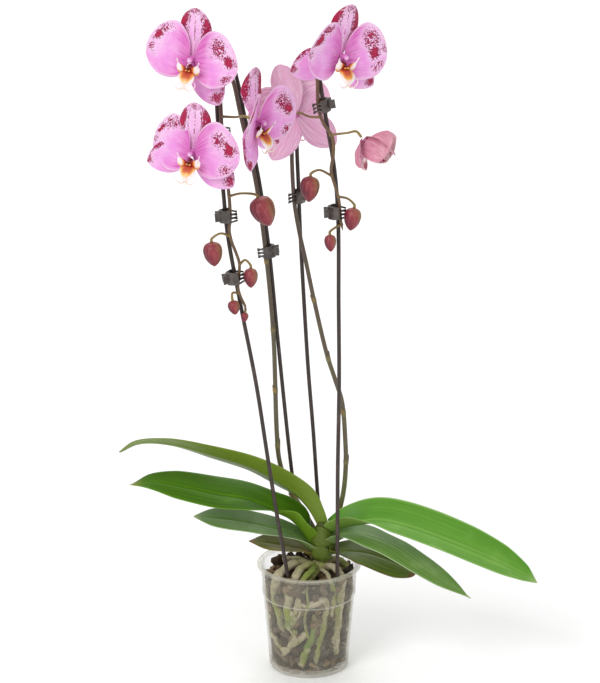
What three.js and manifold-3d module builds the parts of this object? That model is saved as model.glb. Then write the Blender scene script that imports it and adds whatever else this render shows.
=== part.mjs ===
// A cascade-trained moth orchid in a clear nursery pot.
// Millimetres, +Z up, the origin at the centre of the pot's flat base, the plant seen from -Y.
// Two flower stems climb the back legs of two bent hoops, arch over and hang down their front legs.
import * as THREE from 'three';
import { mergeVertices } from 'three/addons/utils/BufferGeometryUtils.js';
import Module from 'manifold-3d';

const wasm = await Module();
wasm.setup();

// ---------------------------------------------------------------- driving dimensions
const GAP = 0.3;
const TAU = 2 * Math.PI;

const POT = {
  height: 126, rimRadius: 60, baseRadius: 45.5, neckRadius: 55.2,
  ringHeight: 90, ringRadius: 53.8, ringStep: 1.0, ringRise: 2,
  wall: 1.3, floor: 2.0, lip: 4.2, edge: 0.8, corner: 3, foot: 9, sides: 28,
  drains: 5, drainRadius: 4, drainCircle: 27, drainSides: 7,
};
const BARK = {
  coreHeight: 104, coreSides: 12, inset: 10.5, bevel: 3, levels: 4, perLevel: 7, lowest: 16, proud: 1.5,
  topChips: 9, topRadius: [12, 38], chip: [19, 19, 8], clearance: 13, seed: 7,
};
// The short stem that the leaves grow from: levels of [height, half width, half depth].
const CROWN = {
  x: 15, y: -2, sides: 10,
  levels: [[131, 10, 8.5], [142, 12, 9.5], [156, 11.5, 8.5], [169, 8.5, 6.5], [177, 4, 3.5]],
};
const LEAF_SHEET = { edge: 1.2, rib: 2.6, thinning: 0.6 };
const LEAF_OUTLINE = { bunching: 0.35, roundness: 7, trough: 1.25, leastHalf: 0.8, columns: 4 };

// Each leaf is a folded strap along its midrib. A station is [x, y, z, width, bank, fold]: bank lifts
// the far edge, fold lifts both edges from the rib, in degrees.
const LEAVES = {
  leaf_left_top: {
    tip: 0.85, colour: 0x6f8a3c,
    stations: [[13, -1, 169, 22, -40, 36], [3, -1, 188, 30, -46, 34], [-9, -1, 205, 40, -48, 26],
      [-26, 0, 219, 46, -46, 16], [-62, 0, 241, 46, -42, 10], [-109, 1, 257, 44, -40, 6],
      [-160, 3, 270, 42, -34, 5], [-196, 4, 270, 34, -32, 4], [-216, 4, 259, 22, -30, 4]],
  },
  leaf_left_long: {
    tip: 0.8, colour: 0x3f7a26,
    stations: [[2, -2, 151, 24, -6, 50], [-7, -4, 166, 36, -4, 44], [-21, -3, 181, 50, 0, 40],
      [-42, -5, 192, 56, 6, 26], [-70, -9, 205, 62, 13, 12], [-106, -15, 214, 64, 16, 7],
      [-150, -22, 227, 58, 17, 5], [-180, -27, 234, 44, 14, 4], [-202, -30, 232, 24, 10, 4]],
  },
  leaf_left_low: {
    tip: 0.5, colour: 0x5d8c50,
    stations: [[3, -1, 141, 26, 2, 40], [-10, -2, 153, 36, 4, 24], [-30, -4, 165, 44, 8, 12],
      [-60, -8, 175, 48, 12, 6], [-88, -12, 182, 46, 14, 5], [-112, -15, 186, 38, 14, 4],
      [-131, -18, 189, 20, 12, 4]],
  },
  leaf_left_short: {
    tip: 0.7, colour: 0x6d6a22,
    stations: [[3, 3, 133, 22, 0, 36], [-8, 2, 140, 30, 6, 20], [-28, -1, 146, 34, 12, 10],
      [-48, -4, 151, 31, 16, 6], [-69, -8, 155, 15, 16, 5]],
  },
  leaf_right_long: {
    tip: 0.6, colour: 0x5d9a3c,
    stations: [[25, -3, 165, 30, 6, 54], [38, -8, 173, 42, 6, 50], [54, -13, 178, 54, 8, 44],
      [76, -20, 183, 66, 10, 30], [100, -27, 182, 72, 12, 20], [138, -37, 173, 74, 12, 17],
      [180, -46, 159, 70, 13, 16], [216, -53, 145, 62, 13, 15], [242, -58, 134, 46, 12, 14],
      [257, -61, 126, 26, 10, 12]],
  },
  leaf_right_middle: {
    tip: 0.95, colour: 0x5a8f58,
    stations: [[28, -4, 151, 28, 2, 44], [38, -8, 160, 38, 2, 26], [54, -17, 167, 46, 2, 8],
      [76, -30, 167, 50, 2, -4], [100, -39, 159, 50, 4, -6], [124, -48, 145, 46, 5, -4],
      [150, -57, 129, 38, 6, 0], [168, -62, 118, 26, 6, 4], [182, -66, 109, 12, 4, 4]],
  },
  leaf_right_low: {
    tip: 0.42, colour: 0x566c35,
    stations: [[27, -2, 138, 24, 0, 38], [40, -6, 141, 36, 8, 18], [60, -11, 142, 46, 16, 5],
      [84, -17, 138, 50, 22, 3], [104, -23, 131, 46, 22, 2], [121, -28, 122, 32, 18, 0]],
  },
};

// Hoops: from the front foot up, over and down to the back foot.
const HOOPS = {
  left: [[-15, -29, 34], [-24, -31, 118], [-36, -36, 195], [-47, -37, 270], [-59, -38, 354],
    [-76, -39, 448], [-89, -41, 526], [-93, -42, 571], [-97, -43, 631], [-99, -43, 672],
    [-97, -33, 701], [-91, -11, 713], [-84, 10, 704], [-78, 20, 680], [-72, 24, 647], [-58, 26, 583],
    [-46, 28, 499], [-35, 30, 379], [-24, 33, 263], [-12, 35, 150], [-2, 35, 34]],
  right: [[30, -29, 34], [32, -31, 119], [32, -36, 190], [32, -37, 253], [33, -38, 354],
    [32, -38, 451], [31, -40, 541], [27, -42, 596], [18, -43, 651], [13, -44, 681], [9, -35, 704],
    [2, -11, 714], [-6, 10, 706], [-12, 20, 684], [-14, 24, 650], [-14, 26, 614], [-12, 27, 562],
    [-10, 28, 508], [-6, 29, 432], [-1, 30, 349], [5, 32, 272], [10, 34, 197], [15, 35, 139],
    [19, 35, 34]],
};
const HOOP_RADIUS = 2.25;
const HOOP_STEPS = 32;
const HOOP_SIDES = 6;

// Flower stems from the crown, up beside the back leg, over and down beside the front leg.
const STEMS = {
  left: {
    radii: [3.1, 2.7, 2.5, 2.4, 2.3, 2.2, 1.9, 1.5],
    route: [[12, 8.4, 152], [-6, 21, 180], [-24, 27, 208], [-34, 27, 240], [-37, 27, 275],
      [-40, 25, 381], [-44, 24, 440], [-50, 23, 500], [-55.5, 22, 545], [-62, 21, 584],
      [-76, 19, 648], [-83, 14, 683], [-91, 5, 706], [-97, -12, 719], [-98, -31, 712],
      [-96.5, -44, 694], [-95, -49, 672], [-94, -49, 646], [-90, -48, 600], [-86.5, -47, 565],
      [-86, -47, 545], [-87, -47, 532], [-84.5, -46, 519], [-80, -46, 507], [-76.5, -45.5, 495],
      [-77, -45, 480], [-78, -45, 467], [-75, -45, 456], [-70.5, -45, 446], [-70, -45, 440]],
    stalks: [
      { from: [-96.5, -44, 694], via: [-108, -58, 708], to: 'bloom_left_top' },
      { from: [-92, -48.5, 622], via: [-106, -62, 625], to: 'bloom_left_low' },
      { from: [-94.5, -49, 658], via: [-80, -62, 660], to: 'bloom_centre_front' },
      { from: [-88, -47.5, 570], via: [-74, -50, 574], to: 'bud_1' },
      { from: [-86.5, -47, 526], via: [-97, -52, 530], to: 'bud_2' },
      { from: [-76.5, -45.5, 493], via: [-70, -47, 499], to: 'bud_3' },
      { from: [-77, -45, 461], via: [-84, -48, 462], to: 'bud_4' },
      { from: [-70, -45, 443], via: [-70.5, -45, 440], to: 'bud_5' },
    ],
  },
  right: {
    radii: [3.1, 2.7, 2.5, 2.4, 2.3, 2.2, 1.9, 1.5],
    route: [[19, 6, 145], [31, 18, 170], [39, 17, 202], [42, 12, 240], [41, 8, 275], [37, 7, 319],
      [29, 9, 345], [20, 11, 373], [5, 16, 437], [-4, 20, 480], [-11, 21.5, 512],
      [-16.5, 22.5, 545], [-19, 21.5, 584], [-19.5, 20, 620], [-19.5, 18, 655], [-19, 13, 686],
      [-14, 5, 708], [-4, -12, 720], [3, -31, 714], [8, -43, 697], [8.5, -46.8, 680],
      [10, -48, 664], [15, -49, 650], [24, -49, 636], [25.5, -49, 618], [23, -49, 599],
      [27, -48.5, 583], [31.5, -47.5, 567], [33, -46, 552], [34, -46, 541], [36, -46, 532]],
    stalks: [
      { from: [5, -38, 707], via: [16, -50, 716], to: 'bloom_right_top' },
      { from: [12.5, -48.5, 657], via: [1, -46, 657], to: 'bloom_centre_back' },
      { from: [21, -48.5, 638], via: [40, -53, 641], to: 'bloom_right_low' },
      { from: [24, -49, 593], via: [10, -51, 600], to: 'bud_6' },
      { from: [31, -48, 570], via: [41, -49, 568], to: 'bud_7' },
      { from: [35.5, -44.5, 539], via: [28, -49, 536], to: 'bud_8' },
    ],
  },
};
const STEM_STEPS = 42;
const STEM_SIDES = 5;
const STALK = { radii: [1.45, 1.25, 1.55], steps: 4, sides: 4 };

// Blooms: centre, which way they face (yaw to the viewer's right, pitch up, roll clockwise, degrees),
// how far the upper sepal, each petal and each lower sepal folds towards the face, and each one's turn
// below or above the level, left before right.
const BLOOMS = {
  bloom_left_top: {
    at: [-123, -85, 726], yaw: -16, pitch: -4, roll: 9, dorsal: 4,
    petals: [6, 12], sepals: [-58, 2], petalTurns: [6, 2], sepalTurns: [-30, -52],
  },
  bloom_left_low: {
    at: [-124, -90, 627], yaw: -14, pitch: -2, roll: 7, dorsal: 4,
    petals: [-14, 4], sepals: [-4, -2], petalTurns: [6, 6], sepalTurns: [-22, -34],
  },
  bloom_centre_front: {
    at: [-55, -95, 662], yaw: 54, pitch: -10, roll: -3, dorsal: -14,
    petals: [32, 22], sepals: [26, 6], petalTurns: [6, 6], sepalTurns: [-60, -38],
  },
  bloom_centre_back: {
    at: [-15, -20, 654], yaw: 196, pitch: -16, roll: 14, dorsal: 4,
    petals: [22, 26], sepals: [12, 20], petalTurns: [26, 6], sepalTurns: [-52, -46],
  },
  bloom_right_top: {
    at: [33, -85, 729], yaw: 32, pitch: -6, roll: 4, dorsal: 4,
    petals: [22, 18], sepals: [-8, 6], petalTurns: [8, 4], sepalTurns: [-20, -36],
  },
  bloom_right_low: {
    at: [60, -57, 633], yaw: 62, pitch: -34, roll: 20, dorsal: 52,
    petals: [54, 54], sepals: [24, 12], petalTurns: [6, 6], sepalTurns: [-46, -46],
    half: true, lipScale: 0.5,
  },
};

// Buds: the stalk's end, the tip, and the greatest width.
const BUDS = {
  bud_1: { at: [-56, -52, 570], tip: [-43, -52, 539], width: 27 },
  bud_2: { at: [-106, -54, 521], tip: [-103, -54, 494], width: 21 },
  bud_3: { at: [-64, -48, 490], tip: [-64, -48, 468], width: 15.5 },
  bud_4: { at: [-84, -50, 454], tip: [-81, -50, 438], width: 13 },
  bud_5: { at: [-70.5, -45, 439], tip: [-72, -45, 428], width: 8.5 },
  bud_6: { at: [1, -51, 593], tip: [-1, -51, 565], width: 21 },
  bud_7: { at: [48, -50, 558], tip: [44, -50, 533], width: 18.5 },
  bud_8: { at: [22, -49, 528], tip: [23, -49, 509], width: 13 },
};

// Claw clips that tie a stem to a hoop's leg: which hoop and leg, how high, and the heading of the teeth in
// degrees. slide moves the clip along its heading, ease opens it wider.
const CLIP = {
  height: 14, length: 17, sheet: 1.3, pin: 2.1, pinSides: 6, gap: 0.4, ease: 1.2,
  grip: 6.5, gripShare: 0.68, shoulder: 4, flat: 2, teeth: 3, tooth: 0.42, search: 1200, frontLimit: -10,
};
const CLIPS = {
  clip_1: { side: 'left', leg: 'front', height: 548, heading: 0 },
  clip_2: { side: 'left', leg: 'front', height: 479, heading: 8, slide: -3, ease: 2.4 },
  clip_3: { side: 'left', leg: 'back', height: 490, heading: 180 },
  clip_4: { side: 'right', leg: 'back', height: 553, heading: 200, ease: 2.6 },
  clip_5: { side: 'right', leg: 'front', height: 552, heading: 0, slide: -4, ease: 2.4 },
  clip_6: { side: 'right', leg: 'front', height: 669, heading: -160, ease: 3 },
  clip_7: { side: 'left', leg: 'front', height: 640, heading: 0 },
  clip_8: { side: 'right', leg: 'back', height: 664, heading: 180, ease: 2.4 },
};

// Roots that leave the crown and dive into the bark, then those that run down inside the wall:
// [angle from the front in degrees, height] along the wall.
const ROOTS = [
  { radius: 4.4, top: [[-3, -17, 129], [-17, -33, 118]], wall: [[-30, 92], [-33, 58]] },
  { radius: 4.6, top: [[-14, -9, 129], [-36, -28, 119]], wall: [[-56, 96], [-50, 74], [-40, 52]] },
  { radius: 3.4, top: [[4, -24, 127], [-7, -40, 117]], wall: [[-14, 97], [-22, 80], [-33, 56]] },
  { radius: 3.2, top: [[7, -20, 120]],
    wall: [[-14, 99], [-6, 92], [8, 94], [21, 97], [25, 84], [21, 62], [14, 40], [11, 16]] },
  { radius: 4.0, top: [[28, -17, 127], [38, -27, 117]], wall: [[44, 88], [46, 50], [50, 20]] },
  { radius: 2.2, top: [[19, -25, 123], [26, -37, 114]], wall: [[34, 92], [33, 74]] },
  { radius: 3.2, top: [[6, -16, 110]], wall: [[6, 56], [-4, 36], [-12, 14]] },
  { radius: 2.8, top: [[-10, -14, 108]], wall: [[-22, 50], [-34, 32], [-48, 20]] },
  { radius: 3.6, top: [[29, 10, 126], [42, 15, 117]], wall: [[118, 90], [112, 52], [124, 22]] },
  { radius: 3.8, top: [[10, 19, 125], [6, 38, 117]], wall: [[172, 88], [160, 56], [168, 24]] },
  { radius: 3.4, top: [[-13, 12, 124], [-34, 20, 117]], wall: [[236, 84], [224, 50], [238, 20]] },
];
const ROOT_HUB = { z: 119, radii: [13, 11.5, 14], seat: 14 };
const ROOT_ROD = { sides: 4, stepsPerPoint: 1.25, taper: [1, 1, 0.86] };

// ---------------------------------------------------------------- solids
const vec = (p) => new THREE.Vector3(...p);
const rad = THREE.MathUtils.degToRad;

function solidOf(geometry) {
  const bare = geometry.clone();
  bare.deleteAttribute('normal');
  bare.deleteAttribute('uv');
  const merged = mergeVertices(bare, 1e-3);
  const vertProperties = new Float32Array(merged.attributes.position.array);
  const triVerts = new Uint32Array(merged.index.array);
  const solid = new wasm.Manifold(new wasm.Mesh({ numProp: 3, vertProperties, triVerts }));
  if (solid.volume() > 0) return solid;
  const flipped = new Uint32Array(triVerts.length);
  for (let i = 0; i < triVerts.length; i += 3) {
    flipped[i] = triVerts[i];
    flipped[i + 1] = triVerts[i + 2];
    flipped[i + 2] = triVerts[i + 1];
  }
  return new wasm.Manifold(new wasm.Mesh({ numProp: 3, vertProperties, triVerts: flipped }));
}

function geometryOf(solid) {
  const mesh = solid.getMesh();
  const geometry = new THREE.BufferGeometry();
  const places = new Float32Array((mesh.vertProperties.length / mesh.numProp) * 3);
  for (let i = 0; i < places.length / 3; i += 1) {
    for (let k = 0; k < 3; k += 1) places[3 * i + k] = mesh.vertProperties[mesh.numProp * i + k];
  }
  geometry.setAttribute('position', new THREE.BufferAttribute(places, 3));
  geometry.setIndex([...mesh.triVerts]);
  return geometry;
}

function joined(solids) {
  return solids.reduce((whole, next) => whole.add(next));
}

function largestBody(solid) {
  return solid.decompose().sort((a, b) => b.volume() - a.volume())[0];
}

function facets(points, faces) {
  const geometry = new THREE.BufferGeometry();
  const places = points.flatMap((point) => point.toArray());
  geometry.setAttribute('position', new THREE.Float32BufferAttribute(places, 3));
  geometry.setIndex(faces.flat());
  return solidOf(geometry);
}

// A closed skin over rings that all have the same number of points.
function loft(rings) {
  const sides = rings[0].length;
  const faces = [];
  for (let i = 0; i + 1 < rings.length; i += 1) {
    for (let j = 0; j < sides; j += 1) {
      const a = i * sides + j;
      const b = i * sides + ((j + 1) % sides);
      faces.push([a, b, a + sides], [b, b + sides, a + sides]);
    }
  }
  const last = (rings.length - 1) * sides;
  for (let j = 1; j + 1 < sides; j += 1) faces.push([0, j + 1, j], [last, last + j, last + j + 1]);
  return facets(rings.flat(), faces);
}

// A sheet of the given thickness on both sides of a surface, split into triangles alike on both faces.
function blade(surface, rows, columns, thickness) {
  const front = [];
  const back = [];
  const step = 1e-3;
  for (let i = 0; i <= rows; i += 1) {
    for (let j = 0; j <= columns; j += 1) {
      const u = i / rows;
      const v = (2 * j) / columns - 1;
      const along = surface(Math.min(u + step, 1), v).sub(surface(Math.max(u - step, 0), v));
      const across = surface(u, Math.min(v + step, 1)).sub(surface(u, Math.max(v - step, -1)));
      const lift = along.cross(across).normalize().multiplyScalar(thickness(u, v) / 2);
      front.push(surface(u, v).add(lift));
      back.push(surface(u, v).sub(lift));
    }
  }
  const width = columns + 1;
  const other = front.length;
  const faces = [];
  for (let i = 0; i < rows; i += 1) {
    for (let j = 0; j < columns; j += 1) {
      const a = i * width + j;
      const quad = [a, a + 1, a + width + 1, a + width];
      faces.push([quad[0], quad[1], quad[2]], [quad[0], quad[2], quad[3]]);
      const [p, q, r, t] = quad.map((corner) => other + corner);
      faces.push([r, q, p], [t, r, p]);
    }
  }
  const rim = [];
  for (let j = 0; j < columns; j += 1) rim.push(j);
  for (let i = 0; i < rows; i += 1) rim.push(i * width + columns);
  for (let j = columns; j > 0; j -= 1) rim.push(rows * width + j);
  for (let i = rows; i > 0; i -= 1) rim.push(i * width);
  rim.forEach((a, k) => {
    const b = rim[(k + 1) % rim.length];
    faces.push([b, a, other + a], [b, other + a, other + b]);
  });
  return facets([...front, ...back], faces);
}

// A round rod whose radius follows a list of radii from end to end.
function taperedRod(route, radii, steps, sides) {
  const curve = new THREE.CatmullRomCurve3(route, false, 'centripetal');
  const frames = curve.computeFrenetFrames(steps, false);
  const rings = [];
  for (let i = 0; i <= steps; i += 1) {
    const place = (i / steps) * (radii.length - 1);
    const low = Math.min(Math.floor(place), radii.length - 2);
    const radius = THREE.MathUtils.lerp(radii[low], radii[low + 1], place - low);
    const centre = curve.getPointAt(i / steps);
    rings.push(Array.from({ length: sides }, (_, k) => {
      const turn = (TAU * k) / sides;
      return centre.clone()
        .addScaledVector(frames.normals[i], radius * Math.cos(turn))
        .addScaledVector(frames.binormals[i], radius * Math.sin(turn));
    }));
  }
  return loft(rings);
}

function evenRod(curve, radius, steps, sides) {
  const section = new THREE.Shape(Array.from({ length: sides }, (_, k) => {
    const turn = (TAU * k) / sides;
    return new THREE.Vector2(radius * Math.cos(turn), radius * Math.sin(turn));
  }));
  return solidOf(new THREE.ExtrudeGeometry(section, { steps, extrudePath: curve, bevelEnabled: false }));
}

function turned(profile, sides) {
  const points = profile.map(([r, z]) => new THREE.Vector2(r, z));
  const geometry = new THREE.LatheGeometry(points, sides);
  geometry.rotateX(Math.PI / 2);
  return solidOf(geometry);
}

function ellipsoid(centre, radii, sides = 10, bands = 6) {
  const geometry = new THREE.SphereGeometry(1, sides, bands);
  geometry.scale(...radii);
  geometry.translate(...centre);
  return solidOf(geometry);
}

function seeded(seed) {
  let state = seed;
  return () => {
    state = (state * 1664525 + 1013904223) % 4294967296;
    return state / 4294967296;
  };
}

// ---------------------------------------------------------------- scene graph
const orchid = new THREE.Group();

function add(name, solid, colour, finish = {}) {
  const look = { color: colour, roughness: 0.6, metalness: 0, ...finish };
  const material = new THREE.MeshStandardMaterial(look);
  const mesh = new THREE.Mesh(geometryOf(solid), material);
  mesh.name = name;
  orchid.add(mesh);
}

// ---------------------------------------------------------------- pot, bark and roots
function wallRadius(z) {
  const { baseRadius, ringHeight, ringRadius, ringStep, neckRadius, height } = POT;
  if (z < ringHeight) return THREE.MathUtils.lerp(baseRadius, ringRadius - ringStep, z / ringHeight);
  return THREE.MathUtils.lerp(ringRadius, neckRadius, (z - ringHeight) / (height - ringHeight));
}

function pot() {
  const { height, rimRadius, ringHeight, ringRise, wall, floor, lip, edge, corner, foot, sides } = POT;
  const outside = [[0, 0], [wallRadius(0) - corner, 0], [wallRadius(corner), corner],
    [wallRadius(ringHeight - ringRise), ringHeight - ringRise], [wallRadius(ringHeight), ringHeight],
    [wallRadius(height - lip), height - lip], [rimRadius, height - lip + edge],
    [rimRadius, height - edge],
    [rimRadius - edge, height]];
  const inside = [[wallRadius(height) - wall, height], [wallRadius(ringHeight) - wall, ringHeight],
    [wallRadius(ringHeight - ringRise) - wall, ringHeight - ringRise], [wallRadius(foot) - wall, foot],
    [wallRadius(0) - wall - corner, floor], [0, floor]];
  let shell = turned([...outside, ...inside], sides);
  for (let k = 0; k < POT.drains; k += 1) {
    const angle = (TAU * (k + 0.5)) / POT.drains;
    const drill = new THREE.CylinderGeometry(POT.drainRadius, POT.drainRadius, 4 * floor, POT.drainSides);
    drill.rotateX(Math.PI / 2);
    drill.translate(POT.drainCircle * Math.cos(angle), POT.drainCircle * Math.sin(angle), floor);
    shell = shell.subtract(solidOf(drill));
  }
  return shell;
}

function rootRoute({ radius, top, wall }) {
  const onWall = wall.map(([angle, z]) => {
    const reach = 0.99 * wallRadius(z) - POT.wall - 3 * GAP - radius;
    return [reach * Math.sin(rad(angle)), -reach * Math.cos(rad(angle)), z];
  });
  return [[CROWN.x - 4, CROWN.y, ROOT_HUB.z], ...top, ...onWall].map(vec);
}

function rootRods(extra) {
  return ROOTS.map((root) => {
    const radii = ROOT_ROD.taper.map((share) => share * root.radius + extra);
    const steps = 1 + Math.round(ROOT_ROD.stepsPerPoint * (root.top.length + root.wall.length));
    return taperedRod(rootRoute(root), radii, steps, ROOT_ROD.sides);
  });
}

function rootHub(extra) {
  return ellipsoid([CROWN.x - 2, CROWN.y, ROOT_HUB.z], ROOT_HUB.radii.map((r) => r + extra));
}

function cutUnderCrown(solid) {
  const bottom = CROWN.levels[0][0];
  const block = new THREE.CylinderGeometry(ROOT_HUB.seat, ROOT_HUB.seat, 2 * bottom, CROWN.sides);
  block.rotateX(Math.PI / 2);
  block.translate(CROWN.x, CROWN.y, 2 * bottom - GAP);
  return solid.subtract(solidOf(block));
}

function routeCurve(points) {
  return new THREE.CatmullRomCurve3(points.map(vec), false, 'centripetal');
}

function hoop(side, extra = 0) {
  return evenRod(routeCurve(HOOPS[side]), HOOP_RADIUS + extra, HOOP_STEPS, HOOP_SIDES);
}

function clearOfHoops(solid) {
  return Object.keys(HOOPS).reduce((rest, side) => rest.subtract(hoop(side, GAP)), solid);
}

function bark() {
  const { coreHeight, coreSides, inset, bevel, levels, perLevel, lowest, proud } = BARK;
  const { topChips, topRadius, chip, clearance, seed } = BARK;
  const random = seeded(seed);
  const foot = POT.floor + GAP;
  const core = turned([[0, foot], [wallRadius(foot) - inset - bevel, foot], [wallRadius(50) - inset, 50],
    [wallRadius(coreHeight) - inset, coreHeight - bevel], [0, coreHeight]], coreSides);
  const chips = [];
  const rootPoints = ROOTS.flatMap((root) => new THREE.CatmullRomCurve3(rootRoute(root)).getPoints(24));
  const place = (radius, angle, z, lean) => {
    const centre = new THREE.Vector3(radius * Math.sin(angle), -radius * Math.cos(angle), z);
    if (rootPoints.some((point) => point.distanceTo(centre) < clearance)) return;
    const box = new THREE.BoxGeometry(...chip.map((size) => size * (0.8 + 0.35 * random())));
    box.rotateX(Math.PI / 2);
    box.rotateY((random() - 0.5) * 2.4);
    box.rotateX((random() - 0.5) * lean);
    box.rotateZ(angle);
    box.translate(centre.x, centre.y, centre.z);
    chips.push(solidOf(box));
  };
  for (let level = 0; level < levels; level += 1) {
    for (let k = 0; k < perLevel; k += 1) {
      const z = lowest + (level * (coreHeight - 2 * lowest)) / (levels - 1) + 8 * random();
      const turn = (TAU * (k + 0.5 * (level % 2) + 0.3 * random())) / perLevel;
      place(wallRadius(z) - inset + proud, turn, z, 0);
    }
  }
  for (let k = 0; k < topChips; k += 1) {
    const radius = THREE.MathUtils.lerp(...topRadius, (k % 3) / 2);
    place(radius, (TAU * k) / topChips + random(), coreHeight + 2 + 4 * random(), 2.6);
  }
  const grooves = [...rootRods(4 * GAP), rootHub(2 * GAP)];
  const body = grooves.reduce((rest, groove) => rest.subtract(groove), joined([core, ...chips]));
  return largestBody(clearOfHoops(body));
}

function roots() {
  const body = cutUnderCrown(joined([rootHub(0), ...rootRods(0)]));
  return largestBody(clearOfHoops(body));
}

// ---------------------------------------------------------------- crown and leaves
function crown(extra = 0) {
  return loft(CROWN.levels.map(([z, rx, ry], level) => Array.from({ length: CROWN.sides }, (_, k) => {
    const turn = (TAU * k) / CROWN.sides;
    const x = CROWN.x + (rx + extra) * Math.cos(turn);
    const y = CROWN.y + (ry + extra) * Math.sin(turn);
    return new THREE.Vector3(x, y, level === 0 ? z - extra : z + extra);
  })));
}

function leafSurface({ stations, tip }) {
  const { bunching, roundness, trough, leastHalf } = LEAF_OUTLINE;
  const spine = routeCurve(stations.map(([x, y, z]) => [x, y, z]));
  const shape = routeCurve(stations.map(([, , , width, bank, fold]) => [width, bank, fold]));
  return (u, v) => {
    const reach = THREE.MathUtils.lerp(u, Math.sin((u * Math.PI) / 2), bunching);
    const [width, bank, fold] = shape.getPoint(reach).toArray();
    const along = spine.getTangent(reach);
    const side = along.clone().cross(new THREE.Vector3(0, 0, 1)).normalize();
    if (side.y < 0) side.negate();
    const up = along.clone().cross(side).normalize();
    if (up.z < 0) up.negate();
    const [tilt, crease] = [rad(bank), rad(fold)];
    const across = side.clone().multiplyScalar(Math.cos(tilt)).addScaledVector(up, Math.sin(tilt));
    const raised = up.clone().multiplyScalar(Math.cos(tilt)).addScaledVector(side, -Math.sin(tilt));
    const half = Math.max((width / 2) * (1 - reach ** roundness) ** tip, leastHalf);
    return spine.getPoint(reach)
      .addScaledVector(across, v * half * Math.cos(crease))
      .addScaledVector(raised, Math.abs(v) ** trough * half * Math.sin(crease));
  };
}

function leaf(form) {
  const { edge, rib, thinning } = LEAF_SHEET;
  const thickness = (u, v) => THREE.MathUtils.lerp(rib * (1 - thinning * u), edge, Math.abs(v));
  const rows = form.stations.length + 3;
  return largestBody(blade(leafSurface(form), rows, LEAF_OUTLINE.columns, thickness).subtract(crown(GAP)));
}

// ---------------------------------------------------------------- blooms
const TEPALS = {
  petal: { length: 49, width: 62, claw: 8, swell: 0.86, round: 0.5, arch: -1.5, curl: -14, rise: 5 },
  dorsal: { length: 55, width: 34, claw: 7, swell: 1.18, round: 0.58, arch: 3.5, curl: 12, rise: 0 },
  lateral: { length: 53, width: 35, claw: 7, swell: 1.05, round: 0.62, arch: 3, curl: -8, rise: 0 },
};
// How a bloom that is still half open differs from a full one.
const HALF_OPEN = {
  petal: { length: 31, width: 38, curl: 40, arch: -3 },
  dorsal: { length: 40, width: 30, curl: 60 },
  lateral: { length: 38, width: 20, curl: 30 },
};
// Where the petals and sepals leave the centre: layers along the face, and the upper sepal's turn.
const PLACING = {
  root: 3, bunching: 0.6, leastHalf: 0.9, sheet: 0.9, rows: 5, petalColumns: 4, sepalColumns: 2,
  upright: 90, dorsalLayer: -2.6, lateralLayers: [-3.8, -2.4], petalLayer: 0.4,
};
const HUB = { at: [0, 0, -2], radii: [6, 6, 4.5] };
const COLUMN = { at: [0, 1, 6], radii: [3.6, 3.4, 7] };
const STALK_SEAT = 6.5;
const STALK_RUN = 15;

// The surface of one petal or sepal in the bloom's own frame: x right, y up, z out of the face.
function tepalSurface(form, { turn, lean, mirror, layer }) {
  const { length, width, claw, swell, round, arch, curl, rise } = form;
  const { root, bunching, leastHalf } = PLACING;
  const [angle, start, bend] = [rad(turn), rad(lean), rad(curl)];
  return (u, v) => {
    const s = THREE.MathUtils.lerp(u, Math.sin((u * Math.PI) / 2), bunching);
    const full = Math.sin(Math.PI * Math.min(s, 0.999) ** swell) ** round;
    const half = Math.max(0.5 * Math.hypot(width * full, claw * (1 - s)), leastHalf);
    const out = root + (length / bend) * (Math.sin(start + bend * s) - Math.sin(start));
    const forward = layer - (length / bend) * (Math.cos(start + bend * s) - Math.cos(start));
    const across = v * half + rise * Math.sin(Math.PI * s);
    const x = out * Math.cos(angle) - across * Math.sin(angle);
    const y = out * Math.sin(angle) + across * Math.cos(angle);
    return new THREE.Vector3(mirror * x, y, forward - arch * v * v * full);
  };
}

function tepals({ dorsal, petals, sepals, petalTurns, sepalTurns, half }) {
  const shapeOf = (kind) => ({ ...TEPALS[kind], ...(half ? HALF_OPEN[kind] : {}) });
  const { rows, petalColumns, sepalColumns, upright, dorsalLayer, lateralLayers, petalLayer } = PLACING;
  const tepal = (kind, columns, where) => (
    blade(tepalSurface(shapeOf(kind), where), rows, columns, () => PLACING.sheet));
  const pairs = [-1, 1].flatMap((mirror, side) => {
    const sepal = { turn: sepalTurns[side], lean: sepals[side], mirror, layer: lateralLayers[side] };
    const wing = { turn: petalTurns[side], lean: petals[side], mirror, layer: petalLayer };
    return [tepal('lateral', sepalColumns, sepal), tepal('petal', petalColumns, wing)];
  });
  return largestBody(joined([
    ellipsoid(HUB.at, HUB.radii, 6, 4),
    ellipsoid(COLUMN.at, COLUMN.radii, 5, 4),
    tepal('dorsal', sepalColumns, { turn: upright, lean: dorsal, mirror: 1, layer: dorsalLayer }),
    ...pairs,
  ]));
}

// The lip: two side lobes that rise beside the column, a mid lobe that reaches down and forward, and two
// curled tendrils at its tip, all in the bloom's frame.
const LIP = {
  sheet: 1.0, foot: [0, -7.3, 4.9], footRadii: [3, 3.2, 5.6], rows: 3, columns: 2,
  side: {
    at: [2, -9, 9.5], half: 6.4, reach: 15, bow: 9, cup: 1.5, from: -16, sweep: 74, rise: 0.72,
    forward: 0.22, upTilt: 0.72, outTilt: 0.5,
  },
  middle: { at: [0, -9, 8], neck: 1.8, half: 7.4, length: 19, bow: 11, cup: 3.2 },
  tendril: [[0.4, -26, 17.3], [4, -29, 18], [9, -27, 19], [12, -22.5, 18], [10, -19, 17]],
  tendrilRadii: [0.9, 0.7], tendrilSteps: 3, tendrilSides: 3,
};

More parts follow.
